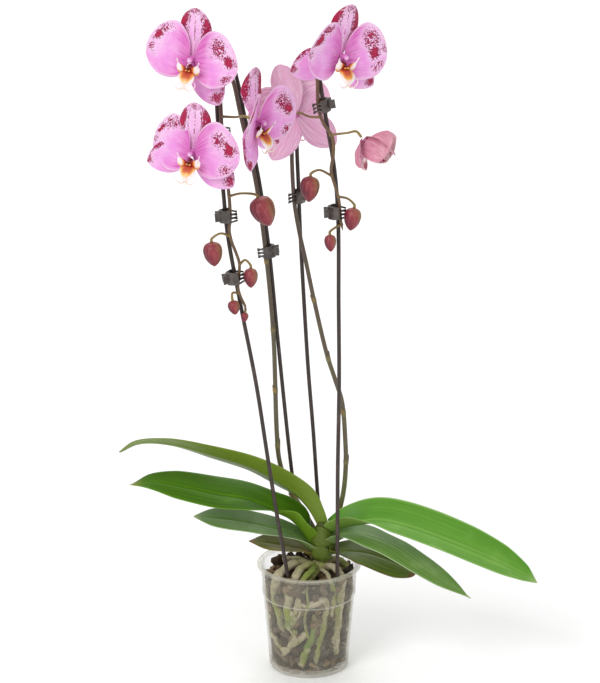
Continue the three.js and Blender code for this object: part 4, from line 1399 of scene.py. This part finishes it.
@dataclass
class Bloom:
    """One bloom: two petals, three sepals and the column, with its lip as a second piece."""

    name: str
    at: Point
    yaw: float
    pitch: float
    roll: float
    dorsal: float
    petals: tuple[float, float]
    sepals: tuple[float, float]
    petal_turns: tuple[float, float]
    sepal_turns: tuple[float, float]
    serial: int
    half_open: bool = False
    lip_scale: float = 1.0
    finish: PetalFinish = PetalFinish()
    root: float = 3.0
    bunching: float = 0.6
    least_half: float = 0.9
    rows: int = 52
    petal_columns: int = 41
    sepal_columns: int = 29
    side_lobe_length: float = 15.0
    stalk_seat: float = 6.8
    stalk_run: float = 15.0
    lip_foot: Point = (0.0, -7.3, 4.9)
    tendril: tuple[Point, ...] = (
        (0.4, -26, 17.3), (4, -29, 18), (9, -27, 19), (12, -22.5, 18), (10, -19, 17),
    )

    def axes(self) -> np.ndarray:
        """Gives the bloom's own axes.

        Returns:
            Right, up and out of the face, one row each.
        """
        y, p, r = (math.radians(a) for a in (self.yaw, self.pitch, self.roll))
        out = np.array([math.sin(y) * math.cos(p), -math.cos(y) * math.cos(p), math.sin(p)])
        level = np.array([math.cos(y), math.sin(y), 0.0])
        upright = np.cross(out, level)
        right = level * math.cos(r) - upright * math.sin(r)
        return np.array([right, upright * math.cos(r) + level * math.sin(r), out])

    def place(self, points: np.ndarray, scale: float = 1.0) -> np.ndarray:
        """Turns points of the bloom's own frame to where it faces.

        Args:
            points: Right, up and out of the face, in the last axis.
            scale: Below one for a smaller lip, whose foot stays in place.

        Returns:
            The points on the plant.
        """
        return (points * scale + np.array(self.lip_foot) * (1 - scale)) @ self.axes() + np.array(self.at)

    def end(self) -> tuple[np.ndarray, np.ndarray]:
        """Gives from where the stalk arrives, and where."""
        run, seat = np.array([0.0, 1.0, -self.stalk_run]), np.array([0.0, 0.0, -self.stalk_seat])
        return self.place(run), self.place(seat)

    def tepal(self, skin: Skin, kind: Tepal, turn: float, lean: float, mirror: int, layer: float,
              part: int) -> None:
        """Adds one petal or sepal.

        Args:
            skin: Where it goes.
            kind: Which it is.
            turn: Its direction from the right, in degrees.
            lean: How far it starts forward, in degrees.
            mirror: -1 for the left side.
            layer: Its place along the face's axis.
            part: Its number in the bloom.
        """
        form, petal = (HALF if self.half_open else FULL)[kind], kind.is_petal
        u, v = weave(self.rows, self.petal_columns if petal else self.sepal_columns)
        angle, start, bend = (math.radians(a) for a in (turn, lean, form.curl))
        s = u + (np.sin(u * math.pi / 2) - u) * self.bunching
        full = np.sin(math.pi * np.minimum(s, 0.999) ** form.swell) ** form.round
        half = np.maximum(0.5 * np.hypot(form.width * full, form.claw * (1 - s)), self.least_half)
        half = half * np.where(s > 0.985, np.sqrt(np.clip((1.0 - s) / 0.015, 0.15, 1)), 1.0)
        out = self.root + (form.length / bend) * (np.sin(start + bend * s) - math.sin(start))
        forward = layer - (form.length / bend) * (np.cos(start + bend * s) - math.cos(start))
        side = v * half + form.rise * np.sin(math.pi * s)
        phase = 1.7 * part + 2.3 * self.serial
        ripple = 1.1 * np.abs(v) ** 3 * full * np.sin(7.5 * s * (1 + 0.12 * part) + phase)
        ripple = ripple + 0.55 * full * np.sin(5 * v + phase) * s
        crease = (-0.9 if petal else 0.72) * swell(v, 0.09) * smooth(1 - s, 0.05, 0.5)
        depth = forward - form.arch * v * v * full + ripple * smooth(s, 0.15, 0.5) + crease
        x = out * math.cos(angle) - side * math.sin(angle)
        y = out * math.sin(angle) + side * math.cos(angle)
        grid = self.place(np.stack([mirror * x, y, depth], axis=-1))
        thick = 0.85 - 0.45 * np.maximum(np.abs(v), s)
        given = self.tones(kind, s, v, part)
        if mirror < 0:
            grid, thick = grid[:, ::-1], thick[:, ::-1]
            given = {name: value[:, ::-1] for name, value in given.items()}
        skin.sheet(grid, thick, **given)

    def tones(self, kind: Tepal, s: np.ndarray, v: np.ndarray, part: int) -> dict[str, np.ndarray]:
        """Gives the values that the petal finish reads.

        Args:
            kind: Which petal or sepal.
            s: Share along it.
            v: Share across it.
            part: Its number in the bloom.

        Returns:
            Each value by its name.
        """
        petal = kind.is_petal
        blotch = self.stain(kind, s, v, part)
        blush = 0.85 * (1 - smooth(s, 0.05, 0.45)) + 0.35 * smooth(-v, 0.35, 1.0) * petal
        pale = 0.6 * smooth(blotch, 0.0, 0.3) + 0.3 * smooth(s, 0.45, 0.9)
        if petal:
            blush = blush + 0.5 * swell(s - 0.28, 0.16) * swell(v - 0.75, 0.4)
            pale = pale + 0.5 * smooth(s, 0.35, 0.7) * smooth(v, -0.6, 0.2)
        if kind is Tepal.DORSAL:
            pale = pale + 0.55
        rim = np.maximum(smooth(np.abs(v), 0.86, 1.0), smooth(s, 0.93, 1.0)) * (0.9 if petal else 0.45)
        serial = np.full(s.shape, float(self.serial * 7 + part))
        return {"along": s, "across": v, "blotch": blotch, "blush": np.clip(blush, 0, 1), "rim": rim,
                "serial": serial, "pale": np.clip(pale, 0, 1)}

    def stain(self, kind: Tepal, s: np.ndarray, v: np.ndarray, part: int) -> np.ndarray:
        """Gives how dense the crimson is.

        Args:
            kind: Which petal or sepal.
            s: Share along it.
            v: Share across it.
            part: Its number in the bloom.

        Returns:
            The density, 0 to about 1.
        """
        random = np.random.default_rng(100 * self.serial + part)
        total = np.zeros(s.shape)
        for blotch in STAINS[kind]:
            shift = random.uniform(-0.06, 0.06, 2)
            size = random.uniform(0.85, 1.2)
            away = ((s - blotch.along - shift[0]) / (blotch.long * size)) ** 2
            away = away + ((v - blotch.across - shift[1]) / (blotch.wide * size)) ** 2
            total = np.maximum(total, blotch.dense * np.exp(-(away**1.4)))
        if kind is Tepal.DORSAL:
            stripe = smooth(np.cos(v * 15.0), 0.35, 0.95) * smooth(1 - np.abs(v), 0.12, 0.3)
            total = np.maximum(total, 0.66 * stripe * smooth(s, 0.08, 0.3) * (1 - 0.6 * smooth(s, 0.75, 1.0)))
        return total

    def column(self, skin: Skin) -> None:
        """Adds the hub and the column that bends over the lip.

        Args:
            skin: Where it goes.
        """
        common = {"along": 0.1, "across": 0.0, "serial": 3.0, "front": 1.0}
        axes, hub = self.axes() * np.array([[4.2], [4.2], [1.8]]), self.place(np.array([0.0, 0.0, -1.6]))
        skin.lump(axes, hub, 12, 20, blotch=0.0, blush=1.0, rim=0.0, **common)
        size = 0.75 if self.half_open else 1.0
        line = Route(((0, 0.5, -1), (0, 1.0, 3.5), (0, 1.2, 7.5), (0, -0.2, 11.4))).even(26)
        share = np.linspace(0, 1, 26)
        radii = size * np.interp(share, (0, 0.35, 0.7, 0.9, 1), (2.3, 2.3, 2.8, 2.4, 0.8))
        skin.tube(self.place(line * np.array([1, 1, size])), radii, 20, blush=0.9 - 0.5 * share,
                  blotch=0.75 * swell(share - 0.45, 0.3), rim=0.8 * smooth(share, 0.75, 1), **common)

    def build(self) -> None:
        """Makes petals, sepals and column as one piece and the lip as another."""
        skin = Skin()
        self.tepal(skin, Tepal.DORSAL, 90, self.dorsal, 1, -2.6, 0)
        for k, (mirror, layer) in enumerate(((-1, -3.8), (1, -2.4))):
            self.tepal(skin, Tepal.LATERAL, self.sepal_turns[k], self.sepals[k], mirror, layer, 1 + k)
        for k, (mirror, kind) in enumerate(((-1, Tepal.LEFT_PETAL), (1, Tepal.RIGHT_PETAL))):
            self.tepal(skin, kind, self.petal_turns[k], self.petals[k], mirror, 0.4, 3 + k)
        self.column(skin)
        skin.build(f"{self.name}_petals", self.name, "petal", self.finish)
        self.lip()

    def side_lobe(self, skin: Skin, mirror: int) -> None:
        """Adds a lobe of the lip that rises beside the column.

        Args:
            skin: Where it goes.
            mirror: -1 for the left side.
        """
        u, v = weave(22, 17)
        wide = 7.4 * np.sin(math.pi * (0.14 + 0.7 * u)) ** 0.5
        rise = 0.72 * self.side_lobe_length * u * np.sin(np.radians(-16 + 62 * u))
        grid = np.stack([
            mirror * (2 + 9 * np.sin(0.55 * math.pi * u) + 1.5 * v * v + 0.4 * np.sin(6 * v) * u),
            -9 + rise + 0.8 * v * wide, 9.5 + 0.22 * self.side_lobe_length * u + 0.42 * v * wide,
        ], axis=-1)
        warmth = 0.8 * (1 - smooth(u, 0.0, 0.42)) + 0.36 * smooth(-v, 0.35, 0.95) * smooth(1 - u, 0.1, 0.5)
        skin.sheet(self.place(grid, self.lip_scale), 0.6 - 0.25 * np.abs(v), warmth=warmth)

    def middle_lobe(self, skin: Skin) -> None:
        """Adds the lobe of the lip that reaches down and forward.

        Args:
            skin: Where it goes.
        """
        u, v = weave(30, 21)
        wide = 1.8 + 7.4 * np.sin(math.pi * np.minimum(0.92 * u + 0.1, 1)) ** 1.3
        depth = 8 + 11 * np.sin(2.2 * u) - 3.2 * v * v * (1 - u) - 0.6 * swell(v, 0.12) * (1 - u)
        warmth = 0.95 - 0.34 * smooth(u, 0.0, 0.25) - 0.52 * smooth(u, 0.2, 0.78)
        warmth = np.clip(warmth - 0.4 * smooth(np.abs(v), 0.3, 0.9) * smooth(u, 0.05, 0.35), 0.02, 1.0)
        grid = self.place(np.stack([v * wide, -9 - 19 * u, depth], axis=-1), self.lip_scale)
        skin.sheet(grid, 0.9 - 0.4 * np.abs(v), warmth=warmth)

    def lip(self) -> None:
        """Makes the lip with its callus and curled tendrils."""
        skin = Skin()
        axes, scale = self.axes() * self.lip_scale, self.lip_scale
        foot = self.place(np.array(self.lip_foot), scale)
        skin.lump(axes * np.array([[2.9], [3.1], [5.5]]), foot, 12, 18, warmth=0.9)
        for mirror in (1, -1):
            self.side_lobe(skin, mirror)
            bump = self.place(np.array([mirror * 1.7, -9.6, 11.6]), scale)
            skin.lump(axes * np.array([[1.3], [1.1], [1.6]]), bump, 10, 14, warmth=0.34)
            line = Route(tuple((mirror * x, y, z) for x, y, z in self.tendril)).even(30)
            radii = scale * np.interp(np.linspace(0, 1, 30), (0, 0.7, 1), (1.0, 0.55, 0.3))
            skin.tube(self.place(line, scale), radii, 8, warmth=np.linspace(0.18, 0.0, 30))
        self.middle_lobe(skin)
        skin.build(f"{self.name}_lip_frill", f"{self.name}_lip", "lip", LipFinish())


# ---------------------------------------------------------------- clips
@dataclass
class ClawClip:
    """One claw clip: its two moulded jaws are the plain solids with softened edges."""

    name: str
    softness: float = 0.32
    steps: int = 2

    def build(self, plastic: bpy.types.Material) -> None:
        """Dresses both jaws.

        Args:
            plastic: The moulded plastic.
        """
        for side in ("a", "b"):
            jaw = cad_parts[f"{self.name}_jaw_{side}"]
            jaw.data.materials.clear()
            jaw.data.materials.append(plastic)
            soft = jaw.modifiers.new("soft_edges", "BEVEL")
            soft.width = self.softness * MM
            soft.segments = self.steps
            soft.limit_method = "ANGLE"
            LOG.info("%s: moulded jaw kept, edges softened", jaw.name)


# ---------------------------------------------------------------- floor, lights and camera
@dataclass(frozen=True)
class Softbox:
    """One square soft light, in metres and watts."""

    name: str
    place: Point
    aim: Point
    size: float
    power: float

    def hang(self) -> None:
        """Hangs the light and points it at its aim."""
        data = bpy.data.lights.new(self.name, "AREA")
        data.shape = "SQUARE"
        data.size = self.size
        data.energy = self.power
        lamp = put(self.name, data)
        heading = np.array(self.aim) - np.array(self.place)
        across, fall = math.hypot(heading[0], heading[1]), -heading[2]
        lamp.location = self.place
        lamp.rotation_euler = (math.atan2(across, fall), 0.0, math.atan2(-heading[0], heading[1]))


@dataclass
class Studio:
    """Plain pale floor, soft lights and the photograph's camera."""

    camera_place: Point = (-0.0104, -2.5, 1.16)
    pitch_down: float = 17.08
    lens: float = 123.07
    sensor: float = 36.0
    near: float = 0.05
    far: float = 60.0
    floor_half: float = 14.0
    sky: float = 0.6
    lights: tuple[Softbox, ...] = (
        Softbox("key_softbox", (-1.3, -1.9, 2.2), (0, 0, 0.45), 1.2, 35.0),
        Softbox("fill_softbox", (1.9, -1.5, 1.4), (0, 0, 0.4), 1.4, 8.0),
        Softbox("backdrop_softbox", (0.0, 3.6, 3.6), (0, 3.2, 0.0), 4.0, 110.0),
    )

    def floor(self) -> None:
        """Lays the floor."""
        mesh = bpy.data.meshes.new("studio_floor")
        half = self.floor_half
        corners = [(-half, -half, 0), (half, -half, 0), (half, half, 0), (-half, half, 0)]
        mesh.from_pydata(corners, [], [(0, 1, 2, 3)])
        mesh.materials.append(FloorFinish().material())
        plane = put("studio_floor", mesh)

    def sky_light(self) -> None:
        """Sets an even white sky."""
        world = bpy.data.worlds.new("studio_sky")
        world.use_nodes = True
        ground = world.node_tree.nodes["Background"]
        ground.inputs["Color"].default_value = (1.0, 1.0, 1.0, 1.0)
        ground.inputs["Strength"].default_value = self.sky
        bpy.context.scene.world = world

    def camera(self) -> None:
        """Sets up the camera."""
        data = bpy.data.cameras.new("photo_camera")
        data.sensor_fit = "AUTO"
        data.sensor_width = self.sensor
        data.lens = self.lens
        data.clip_start, data.clip_end = self.near, self.far
        eye = put("photo_camera", data)
        eye.location = self.camera_place
        eye.rotation_euler = (math.radians(90 - self.pitch_down), 0.0, 0.0)
        bpy.context.scene.camera = eye

    def build(self) -> None:
        """Sets the whole studio."""
        self.floor()
        self.sky_light()
        for light in self.lights:
            light.hang()
        self.camera()
        view = bpy.context.scene.view_settings
        view.view_transform = "Standard"
        view.look = "None"
        LOG.info("studio: floor, %d lights and the camera", len(self.lights))


# ---------------------------------------------------------------- this plant
CROWN_FINISH = LeafFinish("crown", "5c6e24", "3b4416", "7f8d3a", "5c6e24", "7f6f3a", "4a3820", rib=0.0)
YOUNG_PETALS = PetalFinish("young_petal_skin", pale="efdcd6", light="dcaabd", pink="cf8aa6", deep="b65c84",
                           back="e0a6b8", back_vein="c87a92")
LEAVES: tuple[StrapLeaf, ...] = (
    StrapLeaf("leaf_left_top", 0.85, (
        (13, -1, 169, 22, -40, 36), (3, -1, 188, 30, -46, 34), (-9, -1, 205, 40, -48, 26),
        (-26, 0, 219, 46, -46, 16), (-62, 0, 241, 46, -42, 10), (-109, 1, 257, 44, -40, 6),
        (-160, 3, 270, 42, -34, 5), (-196, 4, 270, 34, -32, 4), (-216, 4, 259, 22, -30, 4),
    ), LeafFinish("left_top", "6c8030", "4b5f1c", "8b9a44", "76902a", "8f8c4c", "8a7a3a")),
    StrapLeaf("leaf_left_long", 0.8, (
        (2, -2, 151, 24, -6, 50), (-7, -4, 166, 36, -4, 44), (-21, -3, 181, 50, 0, 40),
        (-42, -5, 192, 56, 6, 26), (-70, -9, 205, 62, 13, 12), (-106, -15, 214, 64, 16, 7),
        (-150, -22, 227, 58, 17, 5), (-180, -27, 234, 44, 14, 4), (-202, -30, 232, 24, 10, 4),
    ), LeafFinish("left_long", "4c8207", "3f660c", "639a1a", "759628", "6d9a2a", "a99a4a")),
    StrapLeaf("leaf_left_low", 0.5, (
        (3, -1, 141, 26, 2, 40), (-10, -2, 153, 36, 4, 24), (-30, -4, 165, 44, 8, 12),
        (-60, -8, 175, 48, 12, 6), (-88, -12, 182, 46, 14, 5), (-112, -15, 186, 38, 14, 4),
        (-131, -18, 189, 20, 12, 4),
    ), LeafFinish("left_low", "648a36", "4f742a", "8aa866", "8fa868", "d3dcc0", "b9b98a")),
    StrapLeaf("leaf_left_short", 0.7, (
        (3, 3, 133, 22, 0, 36), (-8, 2, 140, 30, 6, 20), (-28, -1, 146, 34, 12, 10),
        (-48, -4, 151, 31, 16, 6), (-69, -8, 155, 15, 16, 5),
    ), LeafFinish("left_short", "7a763a", "62602c", "928c4c", "86803f", "8c6a36", "94541f", tip_share=1.0)),
    StrapLeaf("leaf_right_long", 0.6, (
        (25, -3, 165, 30, 6, 54), (38, -8, 173, 42, 6, 50), (54, -13, 178, 54, 8, 44),
        (76, -20, 183, 66, 10, 30), (100, -27, 182, 72, 12, 20), (138, -37, 173, 74, 12, 17),
        (180, -46, 159, 70, 13, 16), (216, -53, 145, 62, 13, 15), (242, -58, 134, 46, 12, 14),
        (257, -61, 126, 26, 10, 12),
    ), LeafFinish("right_long", "68a22c", "528c22", "8cb85a", "849a4a", "a3c87c", "b3cb84")),
    StrapLeaf("leaf_right_middle", 0.95, (
        (28, -4, 151, 28, 2, 44), (38, -8, 160, 38, 2, 26), (54, -17, 167, 46, 2, 8),
        (76, -30, 167, 50, 2, -4), (100, -39, 159, 50, 4, -6), (124, -48, 145, 46, 5, -4),
        (150, -57, 129, 38, 6, 0), (168, -62, 118, 26, 6, 4), (182, -66, 109, 12, 4, 4),
    ), LeafFinish("right_middle", "789e4c", "5e8638", "a0bc7c", "88a068", "bccfa4", "9c9a60")),
    StrapLeaf("leaf_right_low", 0.42, (
        (27, -2, 138, 24, 0, 38), (40, -6, 141, 36, 8, 18), (60, -11, 142, 46, 16, 5),
        (84, -17, 138, 50, 22, 3), (104, -23, 131, 46, 22, 2), (121, -28, 122, 32, 18, 0),
    ), LeafFinish("right_low", "617622", "4a5c1a", "808e48", "748038", "74462f", "763a24", tip_share=0.8)),
)
HOOPS: tuple[WireHoop, ...] = (
    WireHoop("hoop_left", (
        (-15, -29, 34), (-24, -31, 118), (-36, -36, 195), (-47, -37, 270), (-59, -38, 354),
        (-76, -39, 448), (-89, -41, 526), (-93, -42, 571), (-97, -43, 631), (-99, -43, 672),
        (-97, -33, 701), (-91, -11, 713), (-84, 10, 704), (-78, 20, 680), (-72, 24, 647),
        (-58, 26, 583), (-46, 28, 499), (-35, 30, 379), (-24, 33, 263), (-12, 35, 150), (-2, 35, 34),
    )),
    WireHoop("hoop_right", (
        (30, -29, 34), (32, -31, 119), (32, -36, 190), (32, -37, 253), (33, -38, 354), (32, -38, 451),
        (31, -40, 541), (27, -42, 596), (18, -43, 651), (13, -44, 681), (9, -35, 704), (2, -11, 714),
        (-6, 10, 706), (-12, 20, 684), (-14, 24, 650), (-14, 26, 614), (-12, 27, 562), (-10, 28, 508),
        (-6, 29, 432), (-1, 30, 349), (5, 32, 272), (10, 34, 197), (15, 35, 139), (19, 35, 34),
    )),
)
STEMS: tuple[FlowerStem, ...] = (
    FlowerStem("stem_left", (
        (12, 8.4, 152), (-6, 21, 180), (-24, 27, 208), (-34, 27, 240), (-37, 27, 275), (-40, 25, 381),
        (-44, 24, 440), (-50, 23, 500), (-55.5, 22, 545), (-62, 21, 584), (-76, 19, 648),
        (-83, 14, 683), (-91, 5, 706), (-97, -12, 719), (-98, -31, 712), (-96.5, -44, 694),
        (-95, -49, 672), (-94, -49, 646), (-90, -48, 600), (-86.5, -47, 565), (-86, -47, 545),
        (-87, -47, 532), (-84.5, -46, 519), (-80, -46, 507), (-76.5, -45.5, 495), (-77, -45, 480),
        (-78, -45, 467), (-75, -45, 456), (-70.5, -45, 446), (-70, -45, 440),
    ), (
        Stalk((-96.5, -44, 694), (-108, -58, 708), "bloom_left_top"),
        Stalk((-92, -48.5, 622), (-106, -62, 625), "bloom_left_low"),
        Stalk((-94.5, -49, 658), (-80, -62, 660), "bloom_centre_front"),
        Stalk((-88, -47.5, 570), (-74, -50, 574), "bud_1"),
        Stalk((-86.5, -47, 526), (-97, -52, 530), "bud_2"),
        Stalk((-76.5, -45.5, 493), (-70, -47, 499), "bud_3"),
        Stalk((-77, -45, 461), (-84, -48, 462), "bud_4"),
        Stalk((-70, -45, 443), (-70.5, -45, 440), "bud_5"),
    ), (0.06, 0.135, 0.21, 0.29, 0.38)),
    FlowerStem("stem_right", (
        (19, 6, 145), (31, 18, 170), (39, 17, 202), (42, 12, 240), (41, 8, 275), (37, 7, 319),
        (29, 9, 345), (20, 11, 373), (5, 16, 437), (-4, 20, 480), (-11, 21.5, 512), (-16.5, 22.5, 545),
        (-19, 21.5, 584), (-19.5, 20, 620), (-19.5, 18, 655), (-19, 13, 686), (-14, 5, 708),
        (-4, -12, 720), (3, -31, 714), (8, -43, 697), (8.5, -46.8, 680), (10, -48, 664), (15, -49, 650),
        (24, -49, 636), (25.5, -49, 618), (23, -49, 599), (27, -48.5, 583), (31.5, -47.5, 567),
        (33, -46, 552), (34, -46, 541), (36, -46, 532),
    ), (
        Stalk((5, -38, 707), (16, -50, 716), "bloom_right_top"),
        Stalk((12.5, -48.5, 657), (1, -46, 657), "bloom_centre_back"),
        Stalk((21, -48.5, 638), (40, -53, 641), "bloom_right_low"),
        Stalk((24, -49, 593), (10, -51, 600), "bud_6"),
        Stalk((31, -48, 570), (41, -49, 568), "bud_7"),
        Stalk((35.5, -44.5, 539), (28, -49, 536), "bud_8"),
    ), (0.055, 0.13, 0.205, 0.285, 0.37)),
)
BLOOMS: tuple[Bloom, ...] = (
    Bloom("bloom_left_top", (-123, -85, 726), -16, -4, 9, 4, (6, 12), (-58, 2),
          (6, 2), (-30, -52), 1),
    Bloom("bloom_left_low", (-124, -90, 627), -14, -2, 7, 4, (-14, 4), (-4, -2),
          (6, 6), (-22, -34), 2),
    Bloom("bloom_centre_front", (-55, -95, 662), 54, -10, -3, -14, (32, 22), (26, 6),
          (6, 6), (-60, -38), 3),
    Bloom("bloom_centre_back", (-15, -20, 654), 196, -16, 14, 4, (22, 26), (12, 20),
          (26, 6), (-52, -46), 4),
    Bloom("bloom_right_top", (33, -85, 729), 32, -6, 4, 4, (22, 18), (-8, 6),
          (8, 4), (-20, -36), 5),
    Bloom("bloom_right_low", (60, -57, 633), 62, -34, 20, 52, (54, 54), (24, 12),
          (6, 6), (-46, -46), 6,
          half_open=True, lip_scale=0.5, finish=YOUNG_PETALS),
)
BUDS: tuple[Bud, ...] = (
    Bud("bud_1", (-56, -52, 570), (-43, -52, 539), 27),
    Bud("bud_2", (-106, -54, 521), (-103, -54, 494), 21),
    Bud("bud_3", (-64, -48, 490), (-64, -48, 468), 15.5),
    Bud("bud_4", (-84, -50, 454), (-81, -50, 438), 13),
    Bud("bud_5", (-70.5, -45, 439), (-72, -45, 428), 8.5),
    Bud("bud_6", (1, -51, 593), (-1, -51, 565), 21),
    Bud("bud_7", (48, -50, 558), (44, -50, 533), 18.5),
    Bud("bud_8", (22, -49, 528), (23, -49, 509), 13),
)
ROOTS: tuple[Root, ...] = (
    Root(4.4, ((-3, -17, 129), (-17, -33, 118)), ((-30, 92), (-33, 58))),
    Root(4.6, ((-14, -9, 129), (-36, -28, 119)), ((-56, 96), (-50, 74), (-40, 52))),
    Root(3.4, ((4, -24, 127), (-7, -40, 117)), ((-14, 97), (-22, 80), (-33, 56)), 0.55),
    Root(3.2, ((7, -20, 120),),
         ((-14, 99), (-6, 92), (8, 94), (21, 97), (25, 84), (21, 62), (14, 40), (11, 16))),
    Root(4, ((28, -17, 127), (38, -27, 117)), ((44, 88), (46, 50), (50, 20))),
    Root(2.2, ((19, -25, 123), (26, -37, 114)), ((34, 92), (33, 74))),
    Root(3.2, ((6, -16, 110),), ((6, 56), (-4, 36), (-12, 14)), 0.6),
    Root(2.8, ((-10, -14, 108),), ((-22, 50), (-34, 32), (-48, 20))),
    Root(3.6, ((29, 10, 126), (42, 15, 117)), ((118, 90), (112, 52), (124, 22))),
    Root(3.8, ((10, 19, 125), (6, 38, 117)), ((172, 88), (160, 56), (168, 24))),
    Root(3.4, ((-13, 12, 124), (-34, 20, 117)), ((236, 84), (224, 50), (238, 20))),
)
STRANDS: tuple[Root, ...] = (
    Root(4.0, (), ((-31, 85), (-20, 75), (-34, 58))),
    Root(3.6, (), ((-46, 30), (-17, 45), (-2, 59)), 0.15),
    Root(3.4, (), ((-76, 42), (-56, 34), (-38, 27)), 0.1),
    Root(4.2, (), ((-14, 13), (-8, 26), (0, 40)), 0.55),
    Root(5.0, (), ((44, 28), (49, 70), (52, 108)), 0.05),
    Root(3.7, (), ((84, 20), (95, 50), (80, 88))),
    Root(4.1, (), ((120, 30), (135, 60), (128, 95)), 0.5),
    Root(4.5, (), ((200, 20), (190, 60), (205, 100))),
    Root(3.9, (), ((-110, 25), (-125, 55), (-112, 92)), 0.4),
)
CLIPS: tuple[ClawClip, ...] = tuple(ClawClip(f"clip_{number}") for number in range(1, 9))


def main() -> None:
    """Dresses the plant piece by piece and sets the studio."""
    logging.basicConfig(level=logging.INFO, format="%(name)s %(message)s")
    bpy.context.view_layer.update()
    pot = ClearPot()
    for piece in (pot, BarkFill(pot), RootMass(pot, ROOTS, STRANDS), Crown(), *LEAVES, *HOOPS):
        piece.build()
    ends = {piece.name: piece.end() for piece in (*BLOOMS, *BUDS)}
    for stem in STEMS:
        stem.build(ends)
    for piece in (*BLOOMS, *BUDS):
        piece.build()
    plastic = ClipFinish().material()
    for clip in CLIPS:
        clip.build(plastic)
    Studio().build()
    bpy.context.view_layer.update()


if __name__ == "__main__":
    main()
